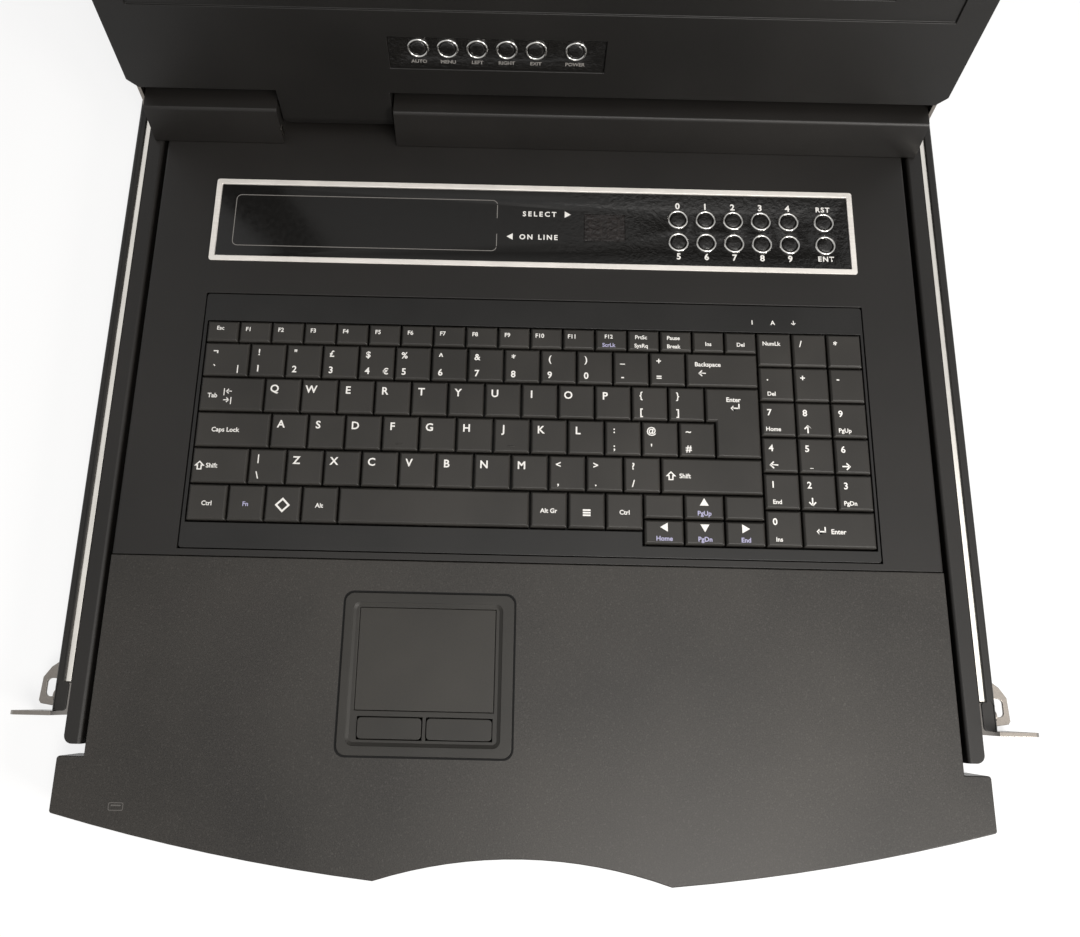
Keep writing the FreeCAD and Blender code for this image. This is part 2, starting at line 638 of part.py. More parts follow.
save("hinge_cover_left", hinge_cover((-COVER_HALF, COVER_GAP_X[0]), (-COVER_HALF, COVER_GAP_X[0])))
save("hinge_cover_right", hinge_cover((COVER_GAP_X[1], COVER_HALF), (COVER_GAP_X[1], COVER_HALF)))
save("rear_cover", rear_cover())
save("rear_sockets", *[video_socket(x, z) for x, z in port_places()], power_inlet())


# ---------------------------------------------------------------- lid

# The lid is drawn upright with the hinge line as its origin: X across, Y from the
# screen side to the back, Z up the lid. stood() leans it back and sets it on the hinge.

LID_FRONT_Y = -LID_FACE
LID_BACK_Y = LID_DEPTH - LID_FACE


def stood(shape):
    """Lid piece turned to the open position and moved to the hinge line."""
    turned = shape.copy()
    turned.rotate(Vector(0, 0, 0), Vector(1, 0, 0), -LEAN)
    turned.translate(HINGE)
    return turned


def up_lid(z):
    """Limits up the lid, given from its lower edge."""
    return tuple(LID_EDGE + value for value in z)


def lid_outline(y, inset):
    """Prism of the lid's outline: lower corners cut off, upper corners rounded."""
    half, low, high, cut = LID_HALF - inset, LID_EDGE + inset, LID_EDGE + LID_HEIGHT - inset, 5.0
    points = [(-half, low + cut), (-half + cut, low), (half - cut, low), (half, low + cut),
              (half, high), (-half, high)]
    points = [Vector(x, y[0], z) for x, z in points]
    prism = Part.Face(Part.makePolygon(points + points[:1])).extrude(Vector(0, y[1] - y[0], 0))
    top = [e for e in edges_along(prism, Vector(0, 1, 0)) if e.CenterOfMass.z > high - 1]
    return prism.makeFillet(max(4.0 - inset, 1.0), top)


def lid_shell():
    """Back cover of the lid: a folded tray behind the front, slotted for the two hinge arms."""
    inner_y = (LID_FRONT_Y + FRONT_SKIN, LID_BACK_Y)
    shell = lid_outline(inner_y, 0)
    rim = [e for e in shell.Edges if abs(e.CenterOfMass.y - LID_BACK_Y) < 1e-6]
    shell = shell.makeChamfer(1.0, rim)
    shell = shell.cut(lid_outline((inner_y[0] - 1, LID_BACK_Y - LID_SKIN), LID_SKIN))
    for x in (-215.7, 213.1):
        shell = shell.cut(block((x, x + 2.6), (-5.0, 7.0), up_lid((-1, 6))))
    neck = block(grown(TONGUE_X, 0.3), (inner_y[0] - 1, LID_FACE + 0.2), up_lid((-1, LID_SKIN + 0.5)))
    return shell.cut(neck)


def lid_front():
    """Front of the lid: the smooth lower part, the screen's recess and window, and the tongue
    that carries the cable down between the hinge covers and turns on the middle pin."""
    front = lid_outline((LID_FRONT_Y, LID_FRONT_Y + FRONT_SKIN), 0)
    screen = (SCREEN_MIDDLE, SCREEN_MIDDLE)

    def centred(size):
        return (-size[0] / 2, size[0] / 2), up_lid((screen[0] - size[1] / 2, screen[1] + size[1] / 2))

    recess_x, recess_z = centred(RECESS)
    window_x, window_z = centred(WINDOW)
    front = front.cut(block(recess_x, (LID_FRONT_Y - 1, LID_FRONT_Y + 1.0), recess_z))
    front = front.cut(block(window_x, (LID_FRONT_Y - 1, 0), window_z))
    front = front.cut(block(OSD_X, (LID_FRONT_Y - 1, 0), up_lid(OSD_Z)))
    neck = block(TONGUE_X, (-LID_FACE, LID_FACE), (0, LID_EDGE + 0.01))
    neck = neck.fuse(block(TONGUE_X, (-LID_FACE, LID_FACE - 1.0), up_lid((-0.1, 12))))
    barrel = cylinder(Vector(TONGUE_X[0], 0, 0), Vector(1, 0, 0), LID_FACE, TONGUE_X[1] - TONGUE_X[0])
    front = front.fuse([neck, barrel]).removeSplitter()
    return front.cut(cylinder(Vector(-150, 0, 0), Vector(1, 0, 0), PIN_RADIUS, 80))


def osd_plate():
    """Recessed plate that holds the screen's six buttons, with a raised ring round each."""
    y = LID_FRONT_Y + 1.2
    plate_solid = block(OSD_X, (y, y + 1.2), up_lid(OSD_Z))
    places = [Vector(x, y, LID_EDGE + OSD_BUTTON_HEIGHT) for x in OSD_BUTTONS.values()]
    toward = Vector(0, -1, 0)
    plate_solid = plate_solid.fuse([flat_sided(p, toward, RING_RADIUS, 0.4) for p in places])
    holes = [flat_sided(p - toward * 5, toward, BUTTON_RADIUS + 0.2, 8) for p in places]
    return plate_solid.cut(Part.makeCompound(holes)).removeSplitter()


def screen_panel():
    """Display module: metal-framed panel behind the window, with the pane just inside it."""
    width, height, depth = SCREEN_MODULE
    y = LID_FRONT_Y + FRONT_SKIN
    z = up_lid((SCREEN_MIDDLE - height / 2, SCREEN_MIDDLE + height / 2))
    module = block((-width / 2, width / 2), (y, y + depth), z)
    pane_z = up_lid((SCREEN_MIDDLE - WINDOW[1] / 2 + 0.3, SCREEN_MIDDLE + WINDOW[1] / 2 - 0.3))
    pane = block((-WINDOW[0] / 2 + 0.3, WINDOW[0] / 2 - 0.3), (y - 0.6, y), pane_z)
    return module.fuse(pane).removeSplitter()


def hinge_arm():
    """Plated arm from the hinge pin up into the corner of the lid."""
    x = 213.4
    along = Vector(1, 0, 0)
    eye = cylinder(Vector(x, 0, 0), along, 6.5, 2.0)
    outline = [(-4.5, 0.0), (4.5, 0.0), (6.5, 12.0), (6.5, LID_EDGE + 45), (-4.5, LID_EDGE + 45),
               (-4.5, 12.0)]
    arm = bar_along_x(outline, (x, x + 2.0))
    foot = block((x - 10, x + 2.0), (4.9, 6.5), (LID_EDGE + 8, LID_EDGE + 45))
    arm = arm.fuse([eye, foot]).removeSplitter()
    return arm.cut(cylinder(Vector(x - 1, 0, 0), along, PIN_RADIUS, 4))


def side_pin():
    """Hinge pin through the arm, the cover's end and the tray's lug, with a flat head outside."""
    along = Vector(1, 0, 0)
    pin = cylinder(Vector(196.0, 0, 0), along, PIN_RADIUS, 19.4)
    return pin.fuse(flat_sided(Vector(215.4, 0, 0), along, 4.5, 1.4))


middle_pin = cylinder(Vector(COVER_GAP_X[0] - 4, 0, 0), Vector(1, 0, 0), PIN_RADIUS,
                      COVER_GAP_X[1] - COVER_GAP_X[0] + 8)

save("lid_shell", stood(lid_shell()))
save("lid_front", stood(lid_front()))
save("osd_plate", stood(osd_plate()))
save("screen_panel", stood(screen_panel()))
save("hinge_arms", stood(hinge_arm()), stood(mirrored(hinge_arm())))
save("hinge_pins", stood(side_pin()), stood(mirrored(side_pin())), stood(middle_pin))
for name, x in OSD_BUTTONS.items():
    place = Vector(x, LID_FRONT_Y + 1.2, LID_EDGE + OSD_BUTTON_HEIGHT)
    save(f"screen_button_{name}", stood(round_button(place, Vector(0, -1, 0), BUTTON_RADIUS, 0.8, 3.4)))


os.makedirs("parts", exist_ok=True)
for name, shape in pieces.items():
    for solid in shape.Solids:
        assert solid.isValid() and solid.Volume > 0, name
    shape.exportStep(f"parts/{name}.step")
print(len(pieces), "sub-parts")
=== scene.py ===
"""Looks of a rackmount console drawer: rails, slides, tray, keyboard, selector panel and lid."""
import json
import math

import bpy
from mathutils import Matrix, Vector
from mathutils.bvhtree import BVHTree

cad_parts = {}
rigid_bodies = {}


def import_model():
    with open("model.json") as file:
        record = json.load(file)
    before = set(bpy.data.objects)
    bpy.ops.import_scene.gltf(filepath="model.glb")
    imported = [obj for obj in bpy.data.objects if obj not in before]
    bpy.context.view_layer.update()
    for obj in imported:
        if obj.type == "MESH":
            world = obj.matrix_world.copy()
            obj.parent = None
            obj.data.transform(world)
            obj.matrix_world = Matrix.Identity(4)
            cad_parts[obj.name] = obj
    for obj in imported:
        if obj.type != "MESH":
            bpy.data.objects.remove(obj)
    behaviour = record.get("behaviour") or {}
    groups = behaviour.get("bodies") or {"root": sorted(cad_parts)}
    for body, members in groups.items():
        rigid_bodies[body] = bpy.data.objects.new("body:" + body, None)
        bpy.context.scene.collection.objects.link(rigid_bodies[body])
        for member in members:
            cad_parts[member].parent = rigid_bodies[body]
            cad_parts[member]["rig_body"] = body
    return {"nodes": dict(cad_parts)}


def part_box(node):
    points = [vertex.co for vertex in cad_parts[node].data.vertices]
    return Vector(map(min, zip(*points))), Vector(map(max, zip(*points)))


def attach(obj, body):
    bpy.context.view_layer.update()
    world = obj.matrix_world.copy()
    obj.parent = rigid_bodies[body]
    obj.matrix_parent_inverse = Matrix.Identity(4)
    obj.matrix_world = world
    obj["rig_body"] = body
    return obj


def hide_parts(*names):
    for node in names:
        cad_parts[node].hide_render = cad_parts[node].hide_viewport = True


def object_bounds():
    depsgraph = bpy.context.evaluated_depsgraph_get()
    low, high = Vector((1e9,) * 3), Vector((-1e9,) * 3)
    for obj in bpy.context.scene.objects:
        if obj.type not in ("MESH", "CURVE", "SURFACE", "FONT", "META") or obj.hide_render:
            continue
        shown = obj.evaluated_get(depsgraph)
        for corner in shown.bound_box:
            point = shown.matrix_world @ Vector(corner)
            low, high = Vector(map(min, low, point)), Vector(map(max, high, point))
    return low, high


for leftover in list(bpy.data.objects):
    bpy.data.objects.remove(leftover)
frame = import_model()
cad_box = [list(corner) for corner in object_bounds()]


# ---------------------------------------------------------------- outer rails
# Two folded steel channels, powder coated black, that bolt between the posts of the rack
# and carry the slides. Three domed rivets hold the fixed member of the slide to each.

MM = 0.001
WELD = 0.001 * MM


class Wire:
    """One output in a material. Arithmetic on it adds Math nodes, and node() adds any other."""

    def __init__(self, tree, socket=None):
        self.tree = tree
        self.socket = socket

    def node(self, kind, settings=None, inputs=None, output=0):
        made = self.tree.nodes.new("ShaderNode" + kind)
        for name, value in (settings or {}).items():
            if name == "stops":
                for element, (position, tone) in zip(made.color_ramp.elements, value):
                    element.position = position
                    element.color = (tone, tone, tone, 1)
            else:
                setattr(made, name, value)
        for name, value in (inputs or {}).items():
            if isinstance(value, Wire):
                self.tree.links.new(value.socket, made.inputs[name])
            else:
                made.inputs[name].default_value = value
        return Wire(self.tree, made.outputs[output] if made.outputs else None)

    def maths(self, operation, first, second):
        return self.node("Math", {"operation": operation}, {0: first, 1: second})

    def __add__(self, other):
        return self.maths("ADD", self, other)

    def __sub__(self, other):
        return self.maths("SUBTRACT", self, other)

    def __rsub__(self, other):
        return self.maths("SUBTRACT", other, self)

    def __mul__(self, other):
        return self.maths("MULTIPLY", self, other)

    __radd__ = __add__
    __rmul__ = __mul__

    def noise(self, size, detail=2.0, stretch=(1, 1, 1)):
        """Noise whose lumps are about this long in millimetres, stretched along the axes."""
        scale = [1 / (size * MM * way) for way in stretch]
        place = self.node("Mapping", None, {"Vector": self, "Scale": scale})
        return self.node("TexNoise", None, {"Vector": place, "Scale": 1.0, "Detail": detail})

    def ramp(self, low, high):
        """0 below low, 1 above high."""
        return self.node("ValToRGB", {"stops": [(low, 0.0), (high, 1.0)]}, {"Fac": self})

    def blend(self, dark, light):
        """Colour from dark to light as this goes from 0 to 1."""
        ends = [c if isinstance(c, Wire) else (*c, 1) for c in (dark, light)]
        return self.node("Mix", {"data_type": "RGBA"}, {0: self, 6: ends[0], 7: ends[1]}, 2)


def start_finish(name):
    """New material, and the wire that carries its object's coordinates."""
    material = bpy.data.materials.new(name)
    material.use_nodes = True
    material.node_tree.nodes.clear()
    return material, Wire(material.node_tree).node("TexCoord", output="Object")


def close_finish(place, height=None, depth=0.0, **sockets):
    """Surface shader with these sockets, and a bump depth millimetres deep where height is given."""
    inputs = {name.replace("_", " "): value for name, value in sockets.items()}
    if height is not None:
        inputs["Normal"] = place.node("Bump", None, {"Height": height, "Distance": depth * MM})
    shader = place.node("BsdfPrincipled", None, inputs)
    place.node("OutputMaterial", None, {"Surface": shader})


def coated(name, dark, light, grain, depth, roughness, specks=0.0):
    """Textured powder coat: a pebbled skin, cloudy in tone, with pale specks that are painted glints where
    it sparkles.
    """
    material, place = start_finish(name)
    pebbles = place.noise(grain, 3)
    cloud = place.noise(90, 3)
    tone = (pebbles * 0.55 + cloud * 0.45).ramp(0.32, 0.68)
    colour = tone.blend(dark, light)
    if specks:
        # Pale specks mixed into the colour: painted glints of the coat's sparkle.
        cells = place.node("Mapping", None, {"Vector": place, "Scale": [1 / (grain * MM)] * 3})
        chance = cells.node("TexVoronoi", None, {"Vector": cells, "Scale": 1.0}, "Color")
        painted_glint = chance.ramp(0.72, 0.98) * specks
        colour = painted_glint.blend(colour, (0.34, 0.32, 0.30))
    rough = roughness + 0.16 * (pebbles - 0.5) + 0.10 * (cloud - 0.5)
    close_finish(place, pebbles, depth, Base_Color=colour, Roughness=rough, Specular_IOR_Level=0.25)
    return material


def select_only(piece):
    bpy.ops.object.select_all(action="DESELECT")
    piece.select_set(True)
    bpy.context.view_layer.objects.active = piece


def edit_only(piece, kind, wanted):
    """Go into edit mode with only the wanted edges or faces of a piece selected."""
    select_only(piece)
    bpy.ops.object.mode_set(mode="EDIT")
    bpy.ops.mesh.select_mode(type=kind)
    bpy.ops.mesh.select_all(action="DESELECT")
    bpy.ops.object.mode_set(mode="OBJECT")
    for part in piece.data.edges if kind == "EDGE" else piece.data.polygons:
        part.select = wanted(part)
    bpy.ops.object.mode_set(mode="EDIT")


def faces_up(face):
    return face.normal.z > 0.9


def folded_in(piece, skin, reach):
    """Draw each corner that rounding threw past reach of the skin in to a sound neighbour."""
    points = piece.data.vertices
    strays = {point.index for point in points if skin.find_nearest(point.co)[3] > reach}
    ways = [tuple(edge.vertices) for edge in piece.data.edges]
    ways += [(last, first) for first, last in ways]
    while strays:
        links = [(one, other) for one, other in ways if one in strays and other not in strays]
        if not links:
            break
        links.sort(key=lambda link: -(points[link[0]].co - points[link[1]].co).length)
        for one, other in links:
            points[one].co = points[other].co
        strays -= {one for one, other in links}


def edge_rounded(piece, width, steps=2, angle=35, skin=None):
    """Round the sharp edges of a piece and shade the rounding smooth."""
    select_only(piece)
    bevel = piece.modifiers.new("rounded", "BEVEL")
    bevel.width = width * MM
    bevel.segments = steps
    bevel.limit_method = "ANGLE"
    bevel.angle_limit = math.radians(angle)
    bevel.use_clamp_overlap = False
    bpy.ops.object.modifier_apply(modifier=bevel.name)
    if skin:
        folded_in(piece, skin, 2 * width * MM)
    bpy.ops.object.shade_smooth_by_angle(angle=math.radians(angle))
    flats = piece.modifiers.new("flats", "WEIGHTED_NORMAL")
    flats.keep_sharp = True
    bpy.ops.object.modifier_apply(modifier=flats.name)


def finished(node, width, material, steps=2):
    """Copy of a CAD node, seams joined and edges rounded, that stands for the node."""
    source = frame["nodes"][node]
    piece = bpy.data.objects.new(node + "_finished", source.data.copy())
    bpy.context.collection.objects.link(piece)
    select_only(piece)
    bpy.ops.mesh.customdata_custom_splitnormals_clear()
    bpy.ops.object.mode_set(mode="EDIT")
    bpy.ops.mesh.select_all(action="SELECT")
    bpy.ops.mesh.remove_doubles(threshold=WELD)
    bpy.ops.mesh.dissolve_limited(angle_limit=math.radians(1))
    bpy.ops.object.mode_set(mode="OBJECT")
    corners = [vertex.co for vertex in source.data.vertices]
    skin = BVHTree.FromPolygons(corners, [tuple(face.vertices) for face in source.data.polygons])
    edge_rounded(piece, width, steps, skin=skin)
    piece.data.materials.clear()
    piece.data.materials.append(material)
    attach(piece, source["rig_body"])
    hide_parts(node)
    return piece


def placed(piece, name, body, material):
    """Name a new piece, leave its place in its mesh, and give it its finish and body."""
    select_only(piece)
    bpy.ops.object.transform_apply()
    piece.name = piece.data.name = name
    piece.data.materials.clear()
    piece.data.materials.append(material)
    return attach(piece, body)


def joined(pieces):
    """Several new pieces made one mesh."""
    bpy.ops.object.select_all(action="DESELECT")
    for piece in pieces:
        piece.select_set(True)
    bpy.context.view_layer.objects.active = pieces[0]
    bpy.ops.object.join()
    return pieces[0]


def screw_head(centre, axis, radius, height, slotted=True):
    """Domed head standing on centre along axis, with a round recess in its top if it is a screw and not a
    rivet.
    """
    turn = axis.to_track_quat("Z", "Y")
    bpy.ops.mesh.primitive_cylinder_add(vertices=24, radius=radius * MM, depth=height * MM)
    head = bpy.context.object
    edit_only(head, "FACE", faces_up)
    bpy.ops.mesh.inset(thickness=radius * 0.18 * MM)
    bpy.ops.transform.translate(value=(0, 0, height * 0.22 * MM))
    bpy.ops.mesh.inset(thickness=radius * 0.25 * MM)
    bpy.ops.transform.translate(value=(0, 0, height * 0.12 * MM))
    if slotted:
        bpy.ops.mesh.inset(thickness=radius * 0.12 * MM)
        down = {"value": (0, 0, -height * 0.6 * MM)}
        bpy.ops.mesh.extrude_region_move(TRANSFORM_OT_translate=down)
        bpy.ops.transform.resize(value=(0.6, 0.6, 1))
    bpy.ops.object.mode_set(mode="OBJECT")
    bpy.ops.object.shade_smooth_by_angle(angle=math.radians(50))
    middle = centre + axis * height * MM / 2
    head.matrix_world = Matrix.Translation(middle) @ turn.to_matrix().to_4x4()
    bpy.ops.object.transform_apply()
    return head


def heads(name, places, axis, size, body, material, slotted=True):
    """Row of screw or rivet heads as one piece. Size is their radius and height."""
    made = [screw_head(Vector(p) * MM, Vector(axis), *size, slotted) for p in places]
    return placed(joined(made), name, body, material)


def plated(name, colour, roughness, brushed=(1, 1, 1), flecks=0.08, metallic=1.0):
    """Plated steel: faint streaks along the way it was rolled, and cloudy gloss."""
    material, place = start_finish(name)
    streaks = place.noise(1.2, 4, brushed)
    cloud = place.noise(14, 3)
    shade = (streaks * 0.5 + cloud * 0.5).ramp(0.3, 0.7)
    base = shade.blend([c * 0.82 for c in colour], colour)
    rough = roughness + flecks * (streaks - 0.5) + flecks * (cloud - 0.5)
    close_finish(place, streaks, 0.01, Base_Color=base, Roughness=rough, Metallic=metallic)
    return material


rail_coat = coated("rail_coat", (0.006, 0.0055, 0.005), (0.013, 0.012, 0.011), 0.45, 0.02, 0.44)
nickel = plated("nickel_plate", (0.22, 0.20, 0.18), 0.26)
MIDDLE = sum(corner.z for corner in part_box("slide_outer_right")) / 2 / MM
RIVET_ROW = (70, 210, 350)
RIVET_HEAD = (2.4, 0.9)
for side, sign in (("left", -1), ("right", 1)):
    finished("outer_rail_" + side, 0.3, rail_coat)
    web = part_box("outer_rail_" + side)[(sign + 1) // 2].x / MM
    rivets = [(web, y, MIDDLE) for y in RIVET_ROW]
    heads("rail_rivets_" + side, rivets, (sign, 0, 0), RIVET_HEAD, "root", rail_coat,
          slotted=False)


# ---------------------------------------------------------------- ears and rear brackets
# The nickel-plated front ears take the rack screws and end in a tab with an oblong hole. The
# black rear brackets reach back to the rear post. Both are screwed through the webs of the rails.

EAR_SCREWS = ((9, -5.5), (9, 5.5))  # along the rail, and up from its middle
BRACKET_SCREWS = ((452, 0), (464, 0))
RAIL_SCREW_HEAD = (2.6, 1.3)
for side, sign in (("left", -1), ("right", 1)):
    finished("ear_" + side, 0.22, nickel)
    finished("rear_bracket_" + side, 0.25, rail_coat)
    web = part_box("outer_rail_" + side)[(sign + 1) // 2].x / MM
    fixings = [(web, y, MIDDLE + z) for y, z in EAR_SCREWS + BRACKET_SCREWS]
    heads("rail_screws_" + side, fixings, (sign, 0, 0), RAIL_SCREW_HEAD, "root",
          nickel)


# ---------------------------------------------------------------- ball slides
# Telescopic slides of zinc-plated steel strip, rolled so that the corners of the members are the
# races of the balls. The balls sit in thin cages that travel half as far as the members they part.

zinc = plated("zinc_plate", (0.72, 0.69, 0.64), 0.22, (1, 40, 1))
ball_steel = plated("ball_steel", (0.72, 0.72, 0.72), 0.12)
for side in ("left", "right"):
    for member in ("outer", "middle", "inner"):
        finished(f"slide_{member}_{side}", 0.12, zinc)


def loose_parts(node):
    """Lowest and highest corner of each separate solid in a CAD node."""
    mesh = frame["nodes"][node].data
    keys = [tuple(round(c, 6) for c in vertex.co) for vertex in mesh.vertices]
    owner = {key: key for key in keys}

    def top(key):
        while owner[key] != key:
            owner[key] = owner[owner[key]]
            key = owner[key]
        return key

    for face in mesh.polygons:
        first, *others = [keys[i] for i in face.vertices]
        for other in others:
            owner[top(other)] = top(first)
    groups = {}
    for key in owner:
        groups.setdefault(top(key), []).append(key)
    return [tuple(Vector(pick(axis) for axis in zip(*points)) for pick in (min, max))
            for points in groups.values()]


BALL = 1.2
BALL_PITCH = 9
STRIP_THICK, STRIP_HIGH = 0.5, 1.5
for cage in ("ball_cages_outer", "ball_cages_inner"):
    parts = []
    for low, high in loose_parts(cage):
        middle = (low + high) / 2
        bpy.ops.mesh.primitive_cube_add(size=1, location=middle,
                                        scale=(STRIP_THICK * MM, high.y - low.y, STRIP_HIGH * MM))
        parts.append(bpy.context.object)
        edge_rounded(parts[-1], 0.1, 1)
        steps = int((high.y - low.y) / (BALL_PITCH * MM))
        for i in range(steps):
            y = low.y + (high.y - low.y) * (i + 0.5) / steps
            bpy.ops.mesh.primitive_ico_sphere_add(subdivisions=2, radius=BALL * MM,
                                                  location=(middle.x, y, middle.z))
            bpy.ops.object.shade_smooth()
            parts.append(bpy.context.object)
    body = frame["nodes"][cage]["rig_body"]
    row = placed(joined(parts), cage + "_finished", body, ball_steel)
    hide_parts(cage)


# ---------------------------------------------------------------- tray
# Pan folded from steel sheet, open at the top, whose flanges cover the slides. Countersunk
# screws through its floor hold the palm rest and the keyboard deck.

tray_coat = coated("tray_coat", (0.006, 0.0055, 0.005), (0.013, 0.0118, 0.0108), 0.45, 0.02, 0.40)
finished("tray_pan", 0.3, tray_coat)
floor_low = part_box("tray_pan")[0] / MM
TRAY_SCREW_ROWS, TRAY_SCREW_LINES = (10, 64, 150, 250, 400), (-180, 0, 180)
TRAY_SCREW_HEAD = (2.8, 0.6)
under = [(x, y, floor_low.z) for y in TRAY_SCREW_ROWS for x in TRAY_SCREW_LINES]
heads("tray_screws", under, (0, 0, -1), TRAY_SCREW_HEAD, "drawer", rail_coat)


# ---------------------------------------------------------------- palm rest
# Aluminium casting with wings that hide the rails and a bay for the fingers in its front edge. It
# is coated with a coarser texture than the tray, with a faint sparkle painted in as pale specks,
# and screwed from below.

palm_coat = coated("palm_coat", (0.009, 0.0082, 0.0074), (0.034, 0.031, 0.0275), 0.6, 0.04, 0.39,
                   specks=0.05)
finished("palm_rest", 0.6, palm_coat, 3)


# ---------------------------------------------------------------- keyboard deck
# Steel plate with turned-down sides, screwed over the tray. The keyboard and the selector panel
# drop into its two openings.

finished("keyboard_deck", 0.3, tray_coat)


# ---------------------------------------------------------------- keyboard
# Notebook-style keyboard in a moulded frame. The caps are moulded in black with a chamfer round
# the top, one row of them on each moving body, and the legends are printed in white.

def moulded(name, dark, light, grain, depth, roughness):
    """Spark-eroded plastic: fine even grain with faint clouding."""
    material, place = start_finish(name)
    pits = place.noise(grain, 2)
    cloud = place.noise(40, 2)
    tone = (pits * 0.4 + cloud * 0.6).ramp(0.35, 0.65)
    rough = roughness + 0.12 * (pits - 0.5) + 0.06 * (cloud - 0.5)
    colour = tone.blend(dark, light)
    close_finish(place, pits, depth, Base_Color=colour, Roughness=rough, Specular_IOR_Level=0.25)
    return material


frame_plastic = moulded("frame_plastic", (0.005, 0.0048, 0.0044), (0.010, 0.0095, 0.009),
                        0.3, 0.01, 0.38)
key_plastic = moulded("key_plastic", (0.016, 0.0148, 0.0132), (0.027, 0.025, 0.0225),
                      0.25, 0.008, 0.40)
finished("keyboard_frame", 0.35, frame_plastic)


def ink(name, colour):
    """Printed ink, a little uneven in density."""
    material, place = start_finish(name)
    density = place.noise(0.6, 2).ramp(0.25, 0.6)
    close_finish(place, Base_Color=density.blend([c * 0.8 for c in colour], colour), Roughness=0.55)
    return material


white_ink = ink("white_ink", (0.80, 0.79, 0.77))
blue_ink = ink("blue_ink", (0.40, 0.39, 0.58))
PRINT_GAP = 0.03
flat = Matrix.Identity(4)


def words(text, size, x, y, height, lie=flat, heavy=0.022, spread=1.0):
    """Flat letters, centred on x, with their foot at y, at a height above the plane they lie on."""
    bpy.ops.object.text_add()
    written = bpy.context.object
    written.data.body = text
    written.data.size = size * MM
    written.data.offset = heavy * size * MM
    written.data.space_character = spread
    written.data.resolution_u = 3
    written.data.align_x = "CENTER"
    written.matrix_world = lie @ Matrix.Translation(Vector((x, y, height)) * MM)
    bpy.ops.object.convert(target="MESH")
    bpy.ops.object.transform_apply()
    return bpy.context.object


# Places of marks on a key: fraction across to the middle, fraction up to the foot, letter size.
SPOTS = {
    "letter": (0.27, 0.58, 5.6), "upper": (0.25, 0.64, 4.8), "lower": (0.25, 0.14, 5.0),
    "right": (0.78, 0.14, 4.6), "pad": (0.24, 0.6, 4.8), "pad_word": (0.34, 0.14, 3.1),
    "top_word": (0.28, 0.52, 3.2), "middle_word": (0.5, 0.4, 3.2), "low_word": (0.5, 0.3, 3.0),
    "first_line": (0.42, 0.56, 3.0), "second_line": (0.42, 0.14, 3.0),
    "wide_word": (0.4, 0.42, 3.3), "arrow": (0.5, 0.56, 4.6), "arrow_word": (0.5, 0.14, 3.3),
    "pad_arrow": (0.3, 0.1, 5.6), "back_word": (0.3, 0.6, 3.3), "back_arrow": (0.22, 0.3, 5.0),
    "enter_word": (0.52, 0.8, 3.4), "enter_arrow": (0.55, 0.66, 5.6),
    "tab_word": (0.2, 0.38, 3.3), "tab_out": (0.44, 0.5, 4.0), "tab_in": (0.44, 0.24, 4.0),
    "shift_arrow": (0.14, 0.36, 5.6), "shift_word": (0.36, 0.42, 3.3),
    "long_arrow": (0.09, 0.36, 5.6), "long_word": (0.23, 0.42, 3.3), "mark": (0.5, 0.3, 7.5),
    "icon": (0.5, 0.28, 7.5), "lock_word": (0.41, 0.62, 3.1), "wide_arrow": (0.24, 0.34, 5.6),
    "pad_enter": (0.48, 0.38, 3.4),
}


def pair(upper, lower):
    return [(upper, "upper"), (lower, "lower")]


def pairs(uppers, lowers):
    return [pair(*both) for both in zip(uppers, lowers)]


def letters(run):
    return [[(letter, "letter")] for letter in run]


def lines(first, second, *special):
    return [(first, "first_line"), (second, "second_line", *special)]


def cursor(arrow, word):
    return [(arrow, "arrow"), (word, "arrow_word", blue_ink)]


def pad(digit, under=None):
    return [(digit, "pad")] + ([(under, "pad_arrow" if under in "←↑→↓" else "pad_word")] if under else [])


ctrl, alt, alt_gr = ([(word, "middle_word")] for word in ("Ctrl", "Alt", "Alt Gr"))
legends = {
    "function_row_keys": [
        [("Esc", "first_line")], *([(f"F{i}", "top_word")] for i in range(1, 12)),
        lines("F12", "ScrLk", blue_ink), lines("PrtSc", "SysRq"), lines("Pause", "Break"),
        [("Ins", "low_word")], [("Del", "low_word")]],
    "number_row_keys": [
        pair("¬", "`") + [("|", "right")], *pairs('!"£', "123"),
        pair("$", "4") + [("€", "right")], *pairs("%^&*()_+", "567890-="),
        [("Backspace", "back_word"), ("←", "back_arrow")]],
    "upper_row_keys": [
        [("Tab", "tab_word"), ("|←", "tab_out"), ("→|", "tab_in")], *letters("QWERTYUIOP"),
        *pairs("{}", "[]"), [("Enter", "enter_word"), ("↵", "enter_arrow")]],
    "home_row_keys": [[("Caps Lock", "wide_word")], *letters("ASDFGHJKL"), *pairs(":@~", ";'#")],
    "lower_row_keys": [
        [("⇧", "shift_arrow"), ("Shift", "shift_word")], pair("|", "\\"), *letters("ZXCVBNM"),
        *pairs("<>?", ",./"), [("⇧", "long_arrow"), ("Shift", "long_word")]],
    "bottom_row_keys": [
        ctrl, [("Fn", "middle_word", blue_ink)], [("◇", "mark")], alt, [], alt_gr,
        [("≡", "icon")], ctrl, [], cursor("▲", "PgUp"), [],
        cursor("◀", "Home"), cursor("▼", "PgDn"), cursor("▶", "End")],
    "numpad_keys": [
        [("NumLk", "lock_word")], pad("/"), pad("*"), pad(".", "Del"), pad("+"), pad("-"),
        pad("7", "Home"), pad("8", "↑"), pad("9", "PgUp"), pad("4", "←"), pad("5", "_"), pad("6", "→"),
        pad("1", "End"), pad("2", "↓"), pad("3", "PgDn"), pad("0", "Ins"),
        [("↵", "wide_arrow"), ("Enter", "pad_enter")]],
}

